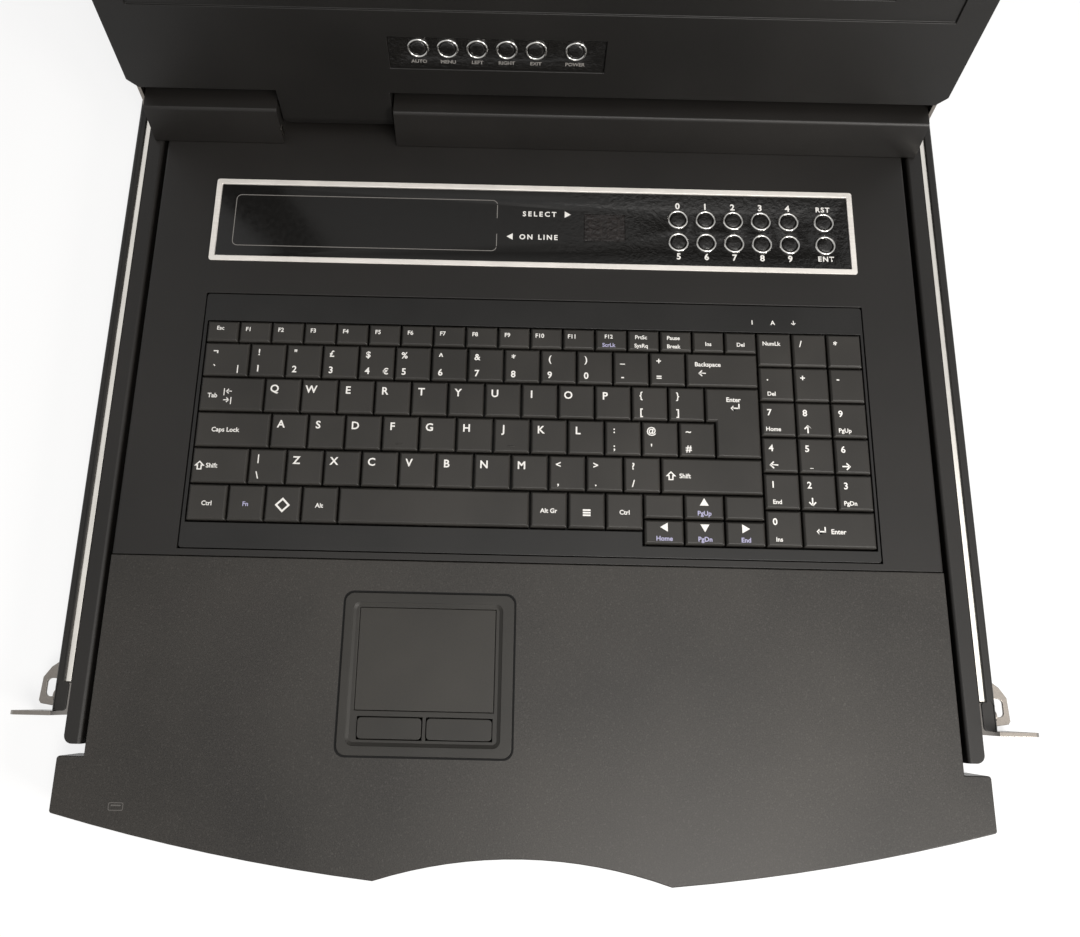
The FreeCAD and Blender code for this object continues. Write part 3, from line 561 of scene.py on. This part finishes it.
ROW_BAND = 6 * MM  # caps whose far edges lie within this are in one row
for row, marks in legends.items():
    finished(row, 0.3, key_plastic, 3)
    caps = sorted(loose_parts(row), key=lambda box: (-round(box[1].y / ROW_BAND), box[0].x))
    printed = {white_ink: [], blue_ink: []}
    for (low, high), cap_marks in zip(caps, marks):
        for text, spot, *special in cap_marks:
            across, up, size = SPOTS[spot]
            x = (low.x + (high.x - low.x) * across) / MM
            y = (low.y + (high.y - low.y) * up) / MM
            material = special[0] if special else white_ink
            printed[material].append(words(text, size, x, y, high.z / MM + PRINT_GAP))
    for material, pieces in printed.items():
        if pieces:
            name = row.replace("keys", "legends" if material is white_ink else "second_legends")
            placed(joined(pieces), name, frame["nodes"][row]["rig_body"], material)


LOCK_MARKS = (("1", 117), ("A", 128), ("↓", 139))  # mark, and where it is across the keyboard
LOCK_BELOW = 2.6
frame_high, caps_high = (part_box(node)[1] / MM for node in ("keyboard_frame", "function_row_keys"))
lock_y = (frame_high.y + caps_high.y) / 2 - LOCK_BELOW
marks = [words(text, 3.4, x, lock_y, frame_high.z + PRINT_GAP) for text, x in LOCK_MARKS]
placed(joined(marks), "lock_marks", "drawer", white_ink)

home_caps = sorted(loose_parts("home_row_keys"), key=lambda box: box[0].x)
BAR_UP = 3.2
BAR_SIZE = Vector((3.6, 0.7, 0.7))
bars = []
for low, high in (home_caps[4], home_caps[7]):
    foot = ((low.x + high.x) / 2, low.y + BAR_UP * MM, high.z)
    bpy.ops.mesh.primitive_cube_add(size=1, location=foot, scale=BAR_SIZE * MM)
    bars.append(bpy.context.object)
    bpy.ops.object.transform_apply()
    edge_rounded(bars[-1], 0.2)
placed(joined(bars), "homing_bars", "home_row_keys", key_plastic)


# ---------------------------------------------------------------- front socket
# Socket for a plug in the front wall of the palm rest, at the left. A plated can folded from strip
# holds a black tongue, and a small outline of a plug is printed on the rest above it.

FRONT_SOCKET = (-188, -48.0, -3.0)


def plate(low, high, corner, lie=flat, edge=0.15):
    """Flat piece between two corners, its upright edges rounded by corner and its rims softened."""
    low, high = Vector(low) * MM, Vector(high) * MM
    bpy.ops.mesh.primitive_cube_add(size=1, location=(low + high) / 2, scale=high - low)
    piece = bpy.context.object
    bpy.ops.object.transform_apply()
    if corner:
        z = [vertex.co.z for vertex in piece.data.vertices]
        edit_only(piece, "EDGE", lambda rim: abs(z[rim.vertices[0]] - z[rim.vertices[1]]) > WELD)
        bpy.ops.mesh.bevel(offset=corner * MM, segments=6, affect="EDGES")
        bpy.ops.object.mode_set(mode="OBJECT")
    if edge:
        edge_rounded(piece, edge)
    piece.matrix_world = lie
    return piece


def faces_deleted(piece, unwanted):
    """Delete the unwanted faces of a piece."""
    edit_only(piece, "FACE", unwanted)
    bpy.ops.mesh.delete(type="FACE")
    bpy.ops.object.mode_set(mode="OBJECT")


def ring(low, high, corner, width):
    """Flat closed line of this width just inside the edges of a plate's top."""
    piece = plate(low, high, corner, edge=0)
    edit_only(piece, "FACE", faces_up)
    bpy.ops.mesh.inset(thickness=width * MM)
    bpy.ops.mesh.delete(type="FACE")
    bpy.ops.object.mode_set(mode="OBJECT")
    faces_deleted(piece, lambda face: not faces_up(face))
    return piece


def span(node, lie=flat):
    """Lowest and highest corner of a node in millimetres, along the axes of the plane lie."""
    back = lie.inverted()
    points = [back @ vertex.co / MM for vertex in frame["nodes"][node].data.vertices]
    return tuple(Vector(pick(axis) for axis in zip(*points)) for pick in (min, max))


palm_top = span("palm_rest")[1].z
dim_ink = ink("dim_ink", (0.075, 0.07, 0.065))
WALL = 0.35
HOLLOW = 9
facing_front = (Matrix.Translation(Vector(FRONT_SOCKET) * MM)
                @ Matrix.Rotation(math.radians(90), 4, "X"))
can = plate((-6.2, -2.6, -10), (6.2, 2.6, 0), 0.6, edge=0)
edit_only(can, "FACE", faces_up)
bpy.ops.mesh.inset(thickness=WALL * MM)
bpy.ops.mesh.extrude_region_move(TRANSFORM_OT_translate={"value": (0, 0, -HOLLOW * MM)})
bpy.ops.object.mode_set(mode="OBJECT")
can.matrix_world = facing_front
placed(can, "front_socket_can", "drawer", zinc)
tongue = plate((-4.8, 0.1, -HOLLOW), (4.8, 1.7, -0.6), 0.3, facing_front)
placed(tongue, "front_socket_tongue", "drawer", key_plastic)
mark = [ring((-191.5, -41.5, palm_top - 1), (-184.5, -37.9, palm_top + PRINT_GAP), 0.8, 0.35),
        plate((-190.3, -39.5, palm_top), (-185.7, -38.9, palm_top + PRINT_GAP), 0, edge=0)]
placed(joined(mark), "front_socket_mark", "drawer", dim_ink)


# ---------------------------------------------------------------- touchpad
# Moulded frame in the palm rest, ringed by a flat near-black band that is painted shadow of the
# seam round it, a pad with a fine matt film, and two separate buttons below it.

touch_plastic = moulded("touch_plastic", (0.012, 0.0112, 0.0097), (0.021, 0.0194, 0.0168),
                        0.3, 0.01, 0.45)
touch_film = moulded("touch_film", (0.016, 0.0147, 0.0127), (0.025, 0.0231, 0.0199),
                     0.5, 0.012, 0.42)
finished("touchpad_frame", 0.3, touch_plastic)
finished("touchpad_surface", 0.2, touch_film)

for side in ("left", "right"):
    node = "touchpad_button_" + side
    low, high = span(node)
    pad_button = plate(low, high, 1.9, edge=0.3)
    placed(pad_button, node + "_finished", node, touch_plastic)
    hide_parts(node)

low, high = span("touchpad_frame")
# Flat near-black band round the frame on the palm rest top: painted shadow of the seam round the pad.
shadow_black = moulded("shadow_black", (0.002, 0.002, 0.002), (0.004, 0.004, 0.004), 0.5, 0.01, 0.9)
SHADOW_BAND_OUT, SHADOW_BAND_CORNER, SHADOW_BAND_WIDTH = 1.0, 5, 1.6
shadow_band = ring((low.x - SHADOW_BAND_OUT, low.y - SHADOW_BAND_OUT, palm_top - 0.3),
           (high.x + SHADOW_BAND_OUT, high.y + SHADOW_BAND_OUT, palm_top + PRINT_GAP), SHADOW_BAND_CORNER, SHADOW_BAND_WIDTH)
placed(shadow_band, "touchpad_painted_shadow", "drawer", shadow_black)

pad_low, pad_high = span("touchpad_surface")
foot = span("touchpad_button_left")[0].y
DISH_SIDE, DISH_FOOT, DISH_HEAD, DISH_CORNER = 3.4, 3.2, 2.6, 3.5
DISH_SLOPE, DISH_DEPTH = 1.5, 0.7
dish_low = (pad_low.x - DISH_SIDE, foot - DISH_FOOT, high.z - 1)
dish_high = (pad_high.x + DISH_SIDE, pad_high.y + DISH_HEAD, high.z - 0.02)
dish = plate(dish_low, dish_high, DISH_CORNER, edge=0)
edit_only(dish, "FACE", faces_up)
bpy.ops.mesh.inset(thickness=DISH_SLOPE * MM)
bpy.ops.transform.translate(value=(0, 0, -DISH_DEPTH * MM))
bpy.ops.mesh.delete(type="FACE")
bpy.ops.object.mode_set(mode="OBJECT")
faces_deleted(dish, lambda face: abs(face.normal.z) < 0.1 or face.normal.z < -0.5)
placed(dish, "touchpad_dish", "drawer", touch_plastic)


# ---------------------------------------------------------------- selector panel
# Satin silver frame round a glossy printed overlay. Twelve domed push buttons in bright rings,
# a two-digit display behind a smoky window, and a place for the list of the connected machines.

silver = plated("satin_silver", (0.80, 0.77, 0.73), 0.42, (20, 1, 1), 0.08, 0.35)
finished("panel_frame", 0.25, silver)


def glossy(name, colour, crackle, roughness=0.14):
    """Printed film over metal: high gloss over a skin that is crazed where crackle says so."""
    material, place = start_finish(name)
    ripple = place.noise(2.2, 4)
    side = place.node("SeparateXYZ", None, {"Vector": place}, "X")
    where = (side * (1 / (60 * MM))).ramp(0.0, 1.0) if crackle else 1.0
    veins = (ripple - 0.5) * where
    rough = roughness + 0.2 * (ripple - 0.5)
    tone = ripple.ramp(0.3, 0.7).blend([c * 0.7 for c in colour], colour)
    close_finish(place, veins, 0.5, Base_Color=tone, Roughness=rough, Specular_IOR_Level=0.3)
    return material


overlay = glossy("panel_overlay", (0.006, 0.0056, 0.0052), True)
button_gloss = glossy("button_gloss", (0.008, 0.0075, 0.007), False, 0.2)
bright_ring = plated("bright_ring", (0.50, 0.49, 0.47), 0.14)
PANEL_TOP = span("panel_face")[1].z - 0.4


def shaved(node, width, material, lie, level):
    """Finished copy of a node whose raised collars are levelled off, to take turned rings."""
    piece = finished(node, width, material)
    for vertex in piece.data.vertices:
        point = lie.inverted() @ vertex.co / MM
        point.z = min(point.z, level)
        vertex.co = lie @ (point * MM)
    select_only(piece)
    bpy.ops.object.mode_set(mode="EDIT")
    bpy.ops.mesh.select_all(action="SELECT")
    bpy.ops.mesh.remove_doubles(threshold=WELD)
    bpy.ops.mesh.dissolve_degenerate(threshold=WELD)
    bpy.ops.object.mode_set(mode="OBJECT")
    return piece


CAP_RADIUS, RING_RADIUS, RING_WIRE = 4.1, 5.0, 0.72
CAP_STEPS = ((-0.7, 0.0), (0.35, 0.5), (0.2, 0.9), (0.1, 1.2))  # rise, and way in


def push_buttons(group, nodes, lie, level, body):
    """Domed caps that each replace their node, and the ring that stands round each of them."""
    rings = []
    for node in nodes:
        low, high = span(node, lie)
        x, y = (low.x + high.x) / 2, (low.y + high.y) / 2
        bpy.ops.mesh.primitive_cylinder_add(vertices=32, radius=CAP_RADIUS * MM,
                                            depth=(high.z - low.z) * MM,
                                            location=(x * MM, y * MM, (low.z + high.z) / 2 * MM))
        cap = bpy.context.object
        bpy.ops.object.transform_apply()
        edit_only(cap, "FACE", faces_up)
        for rise, inward in CAP_STEPS:
            if inward:
                bpy.ops.mesh.inset(thickness=inward * MM)
            bpy.ops.transform.translate(value=(0, 0, rise * MM))
        bpy.ops.object.mode_set(mode="OBJECT")
        bpy.ops.object.shade_smooth_by_angle(angle=math.radians(60))
        cap.matrix_world = lie
        placed(cap, node + "_finished", node, button_gloss)
        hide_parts(node)
        bpy.ops.mesh.primitive_torus_add(major_segments=40, minor_segments=10,
                                         major_radius=RING_RADIUS * MM, minor_radius=RING_WIRE * MM,
                                         location=(x * MM, y * MM, (level + 0.12) * MM))
        bpy.ops.object.shade_smooth()
        rings.append(bpy.context.object)
    ring_set = joined(rings)
    select_only(ring_set)
    bpy.ops.object.transform_apply()
    ring_set.matrix_world = lie
    placed(ring_set, group + "_rings", body, bright_ring)


shaved("panel_face", 0.1, overlay, flat, PANEL_TOP)
panel_buttons = [node for node in frame["nodes"] if node.startswith("panel_button_")]
push_buttons("panel", panel_buttons, flat, PANEL_TOP, "drawer")

CAPTION_AWAY = 6.6
CAPITAL = 0.7  # height of a capital in a letter size of 1
captions = []
for node in panel_buttons:
    low, high = span(node)
    x, y = (low.x + high.x) / 2, (low.y + high.y) / 2
    title = node.removeprefix("panel_button_")
    title = {"reset": "RST", "enter": "ENT"}.get(title, title)
    above = title in "01234 RST"
    size, spread = (5.0, 1.0) if len(title) == 1 else (4.1, 1.25)
    foot = y + CAPTION_AWAY if above else y - CAPTION_AWAY - CAPITAL * size
    captions.append(words(title, size, x, foot, PANEL_TOP + PRINT_GAP, heavy=0.03, spread=spread))
UPPER_FOOT, LOWER_FOOT = 267.8, 253.8
print_top = PANEL_TOP + PRINT_GAP
captions.append(words("SELECT", 4.1, 3.0, UPPER_FOOT, print_top, heavy=0.03, spread=1.5))
captions.append(words("▶", 4.0, 18.4, UPPER_FOOT, print_top))
captions.append(words("◀", 4.0, -13.0, LOWER_FOOT, print_top))
captions.append(words("ON LINE", 4.1, 2.6, LOWER_FOOT, print_top, heavy=0.03, spread=1.4))
placed(joined(captions), "panel_captions", "drawer", white_ink)

LINE, OUTLINE_CORNER = 0.4, 3
grey_ink = ink("grey_ink", (0.20, 0.19, 0.18))
low, high = Vector((-164, 246.2, PANEL_TOP - 0.5)), Vector((-20, 277.2, PANEL_TOP + PRINT_GAP))
outline = ring(low, high, OUTLINE_CORNER, LINE)
faces_deleted(outline, lambda face: face.center.x > (high.x - LINE) * MM)
stubs = [plate((high.x - LINE, y, PANEL_TOP), (high.x, y + long, high.z), 0, edge=0)
         for y, long in ((low.y + OUTLINE_CORNER, 7.5), (high.y - 11, 8))]
placed(joined([outline] + stubs), "label_outline", "drawer", grey_ink)

smoky = glossy("smoky_window", (0.012, 0.0095, 0.0088), False, 0.12)
unlit = glossy("unlit_digits", (0.017, 0.0135, 0.0125), False, 0.2)
circuit = coated("circuit", (0.004, 0.02, 0.010), (0.008, 0.04, 0.016), 0.8, 0.02, 0.4)
finished("display_board", 0.1, circuit)
window_low, window_high = (27.5, 253.6), (50.0, 269.9)
module_top = span("display_board")[1].z
pane = plate((window_low[0] + 0.15, window_low[1] + 0.15, module_top + 0.05),
             (window_high[0] - 0.15, window_high[1] - 0.15, PANEL_TOP - 0.1), 0)
placed(pane, "display_window", "drawer", smoky)
DIGIT_OUT, BAR_HALF, BAR_HALF_WIDTH = 4.9, 2.2, 0.55
LYING = [(0, dy, BAR_HALF, BAR_HALF_WIDTH) for dy in (5.2, 0, -5.2)]
UPRIGHT = [(dx, dy, BAR_HALF_WIDTH, BAR_HALF) for dy in (2.6, -2.6) for dx in (-2.9, 2.9)]
segments = []
for digit in (-1, 1):
    for dx, dy, half_x, half_y in LYING + UPRIGHT:
        x = (window_low[0] + window_high[0]) / 2 + digit * DIGIT_OUT + dx
        y = (window_low[1] + window_high[1]) / 2 + dy
        segments.append(plate((x - half_x, y - half_y, PANEL_TOP - 0.13),
                              (x + half_x, y + half_y, PANEL_TOP - 0.07), 0, edge=0.02))
placed(joined(segments), "unlit_digits", "drawer", unlit)


# ---------------------------------------------------------------- rear cover and sockets
# Two folded ledges hide the hinge, and a cover folded from the same sheet closes the electronics
# bay. Its back wall holds sixteen sockets and the mains inlet.

for node in ("hinge_cover_left", "hinge_cover_right", "rear_cover"):
    finished(node, 0.35, tray_coat)
socket_metal = plated("socket_metal", (0.66, 0.64, 0.60), 0.3)
sockets = finished("rear_sockets", 0.12, socket_metal)
black_plastic = moulded("black_plastic", (0.006, 0.006, 0.006), (0.012, 0.012, 0.012),
                        0.3, 0.01, 0.4)
sockets.data.materials.append(black_plastic)
INLET_FROM = 150  # the mains inlet starts here, past the last socket
for face in sockets.data.polygons:
    face.material_index = int(face.center.x > INLET_FROM * MM)
cover_high = span("rear_cover")[1]
COVER_SCREW_HEAD = (2.6, 0.7)
tops = [(x, y, cover_high.z) for x in (-195, 0, 195) for y in (372, 425)]
heads("rear_cover_screws", tops, (0, 0, 1), COVER_SCREW_HEAD, "drawer",
      rail_coat)


def facing_back(x, y, z):
    """Plane of the back wall at a point, with its first axis to the left and its second one up."""
    return (Matrix.Translation(Vector((x, y, z)) * MM) @ Matrix.Rotation(math.radians(-90), 4, "X")
            @ Matrix.Rotation(math.pi, 4, "Z"))


def tube(radius, length, lie, sides=8):
    """Short tube that stands on the plane at its origin."""
    bpy.ops.mesh.primitive_cylinder_add(vertices=sides, radius=radius * MM, depth=length * MM,
                                        location=(0, 0, length / 2 * MM))
    piece = bpy.context.object
    bpy.ops.object.transform_apply()
    edit_only(piece, "FACE", faces_up)
    bpy.ops.mesh.inset(thickness=radius * 0.4 * MM)
    bpy.ops.mesh.extrude_region_move(TRANSFORM_OT_translate={"value": (0, 0, -length * 0.8 * MM)})
    bpy.ops.object.mode_set(mode="OBJECT")
    bpy.ops.object.shade_smooth_by_angle(angle=math.radians(46))
    piece.matrix_world = lie
    return piece


brass = plated("brass", (0.75, 0.56, 0.28), 0.25)
ports = sorted((box for box in loose_parts("rear_sockets") if box[1].x < INLET_FROM * MM),
               key=lambda box: (-round(box[0].z, 3), -box[0].x))
CONTACT_PITCH = 2.1
CONTACT_ROWS = ((-1.9, 0), (0, 1.1), (1.9, 0))  # height of each row, and its shift to the side
POST_OUT = 12.3
contacts, inserts, posts, numbers = [], [], [], []
for count, (low, high) in enumerate(ports):
    middle = (low + high) / 2 / MM
    face = facing_back(middle.x, high.y / MM - 0.6, middle.z)
    inserts.append(plate((-6.4, -3.2, -0.1), (6.4, 3.2, 0.15), 0.8, face, 0))
    for row, shift in CONTACT_ROWS:
        for step in range(-2, 3):
            hole = Matrix.Translation(Vector((step * CONTACT_PITCH + shift - 0.5, row, 0.15)) * MM)
            contacts.append(tube(0.5, 0.15, face @ hole))
    for side in (-POST_OUT, POST_OUT):
        posts.append(tube(2.5, 4.2, facing_back(middle.x + side, high.y / MM - 4.8, middle.z), 6))
    wall = facing_back(middle.x, cover_high.y + 0.05, middle.z)
    numbers.append(words(str(count + 1), 3.4, 0, 7.2, 0, wall))
placed(joined(inserts), "socket_inserts", "drawer", black_plastic)
placed(joined(contacts), "socket_contacts", "drawer", brass)
placed(joined(posts), "jack_posts", "drawer", nickel)
placed(joined(numbers), "socket_numbers", "drawer", white_ink)

INLET_X, INLET_Z = 168, 7.7125
BLADE_HALF, BLADE_HALF_HIGH = 1.1, 2.1
inlet_face = facing_back(INLET_X, cover_high.y, INLET_Z)
inlet_pins = []
for side, up in ((-7, -1.5), (0, 3.0), (7, -1.5)):
    inlet_pins.append(plate((side - BLADE_HALF, up - BLADE_HALF_HIGH, -15.4),
                            (side + BLADE_HALF, up + BLADE_HALF_HIGH, -1.9), 0, inlet_face, 0.3))
placed(joined(inlet_pins), "inlet_pins", "drawer", nickel)

left_low, left_high = span("hinge_cover_left")
clip = plate((left_high.x, left_low.y + 2.0, 12), (left_high.x + 0.8, left_low.y + 5.0, 18.5), 0.3)
placed(clip, "cover_clip", "drawer", nickel)


# ---------------------------------------------------------------- lid
# Pressed aluminium shell behind a front frame that holds the screen. Both are coated like the
# tray, and six screws from the back hold them together.

HINGE_Y, HINGE_Z, LEAN = 326, 17.7125, 77
lid_hinge = (Matrix.Translation((0, HINGE_Y * MM, HINGE_Z * MM))
             @ Matrix.Rotation(math.radians(LEAN), 4, "X"))
lid_coat = coated("lid_coat", (0.0045, 0.0043, 0.004), (0.011, 0.0102, 0.0094), 0.4, 0.015, 0.40)
finished("lid_shell", 0.8, lid_coat, 3)
finished("lid_front", 0.4, lid_coat, 3)
back = span("lid_shell", lid_hinge)[0].z
LID_SCREW_HEAD = (2.6, 0.9)
backs = [lid_hinge @ (Vector((x, up, back)) * MM) / MM for x in (-200, 0, 200) for up in (40, 350)]
outward = lid_hinge.to_3x3() @ Vector((0, 0, -1))
heads("lid_screws", backs, outward, LID_SCREW_HEAD, "lid", rail_coat)

screen_glass, place = start_finish("screen_glass")
haze = place.noise(60, 2)
weave = place.noise(0.3, 1)
tint = haze.blend((0.006, 0.0065, 0.008), (0.010, 0.0105, 0.012))
close_finish(place, weave, 0.002, Base_Color=tint, Roughness=0.16 + 0.06 * (haze - 0.5),
             Coat_Weight=0.5)
finished("screen_panel", 0.2, screen_glass)

OSD_TOP = span("osd_plate", lid_hinge)[1].z - 0.4
shaved("osd_plate", 0.2, button_gloss, lid_hinge, OSD_TOP)
screen_buttons = [node for node in frame["nodes"] if node.startswith("screen_button_")]
push_buttons("screen", screen_buttons, lid_hinge, OSD_TOP, "lid")
captions = []
for node in screen_buttons:
    low, high = span(node, lid_hinge)
    x, y = (low.x + high.x) / 2, (low.y + high.y) / 2
    title = node.removeprefix("screen_button_").upper()
    captions.append(words(title, 2.9, x, y - 9.0, OSD_TOP + PRINT_GAP, lid_hinge, 0.03))
placed(joined(captions), "screen_captions", "lid", grey_ink)


# ---------------------------------------------------------------- hinge
# Two nickel-plated steel arms, screwed inside the lid, turn on pins that are pressed through the
# lugs of the tray. The ends of the pins show beside the ledges.

finished("hinge_arms", 0.2, nickel)
finished("hinge_pins", 0.2, nickel)


# ---------------------------------------------------------------- floor, light and camera
# White floor and surround, and four soft lamps, most of them at the right. The camera stands over
# the drawer and looks down at the keyboard, so that only the foot of the lid is in its view.

def sight(wire):
    """1 for the rays that show the surroundings: straight ones, mirrored ones and refracted ones."""
    ray = wire.node("LightPath", output="Is Camera Ray")
    for kind in ("Is Glossy Ray", "Is Transmission Ray"):
        ray = ray + wire.node("LightPath", output=kind)
    return ray


floor_finish, place = start_finish("studio_floor")
seen = place.node("Emission", None, {"Color": (1, 1, 1, 1), "Strength": 1.05})
lit = place.node("BsdfDiffuse", None, {"Color": (0.86, 0.86, 0.86, 1)})
WHITE_SHARE = 0.78  # of the floor that the camera sees; the rest takes the shadow
floor_mix = place.node("MixShader", None, {0: sight(place) * WHITE_SHARE, 1: lit, 2: seen})
place.node("OutputMaterial", None, {"Surface": floor_mix})
bpy.ops.mesh.primitive_plane_add(size=12, location=(0, 0.2, cad_box[0][2] - 0.0005))
floor = bpy.context.object
floor.name = "studio_floor"
floor.data.materials.append(floor_finish)

world = bpy.data.worlds.new("studio")
bpy.context.scene.world = world
world.use_nodes = True
world.node_tree.nodes.clear()
air = Wire(world.node_tree)
white = air.node("Background", None, {"Color": (1, 1, 1, 1), "Strength": 1.0})
soft = air.node("Background", None, {"Color": (1, 0.98, 0.95, 1), "Strength": 0.07})
air.node("OutputWorld", None, {"Surface": air.node("MixShader", None, {0: sight(air), 1: soft, 2: white})})


def lamp(name, stand, aim, size, power):
    """Square soft lamp that looks from where it stands at its aim."""
    light = bpy.data.lights.new(name, "AREA")
    light.size = size
    light.energy = power
    light.color = (1.0, 0.97, 0.93)
    holder = bpy.data.objects.new(name, light)
    bpy.context.collection.objects.link(holder)
    holder.location = stand
    holder.rotation_euler = (Vector(aim) - Vector(stand)).to_track_quat("-Z", "Y").to_euler()


AIM = (0.08, 0.05, 0)
lamp("top_lamp", (0.1, 0.0, 1.8), AIM, 1.2, 6.5)
lamp("right_lamp", (0.8, 0.0, 1.6), AIM, 1.0, 4.5)
lamp("key_lamp", (0.33, -0.55, 1.3), AIM, 0.5, 13)
lamp("side_lamp", (0.7, -0.4, 0.45), AIM, 0.3, 9)

lens = bpy.data.cameras.new("camera")
camera = bpy.data.objects.new("camera", lens)
bpy.context.collection.objects.link(camera)
lens.sensor_width = 36
lens.lens = 30.99
lens.shift_x, lens.shift_y = 0.0236, -0.0238
lens.clip_start, lens.clip_end = 0.01, 50
pitch, yaw, roll = (math.radians(angle) for angle in (74.529, 0.282, 1.57))
eye = (-0.00857, 0.01145, 0.46658)
camera.matrix_world = (Matrix.Translation(eye) @ Matrix.Rotation(-yaw, 4, "Z")
                       @ Matrix.Rotation(math.pi / 2 - pitch, 4, "X")
                       @ Matrix.Rotation(roll, 4, "Z"))
bpy.context.scene.camera = camera
bpy.context.scene.view_settings.view_transform = "Standard"
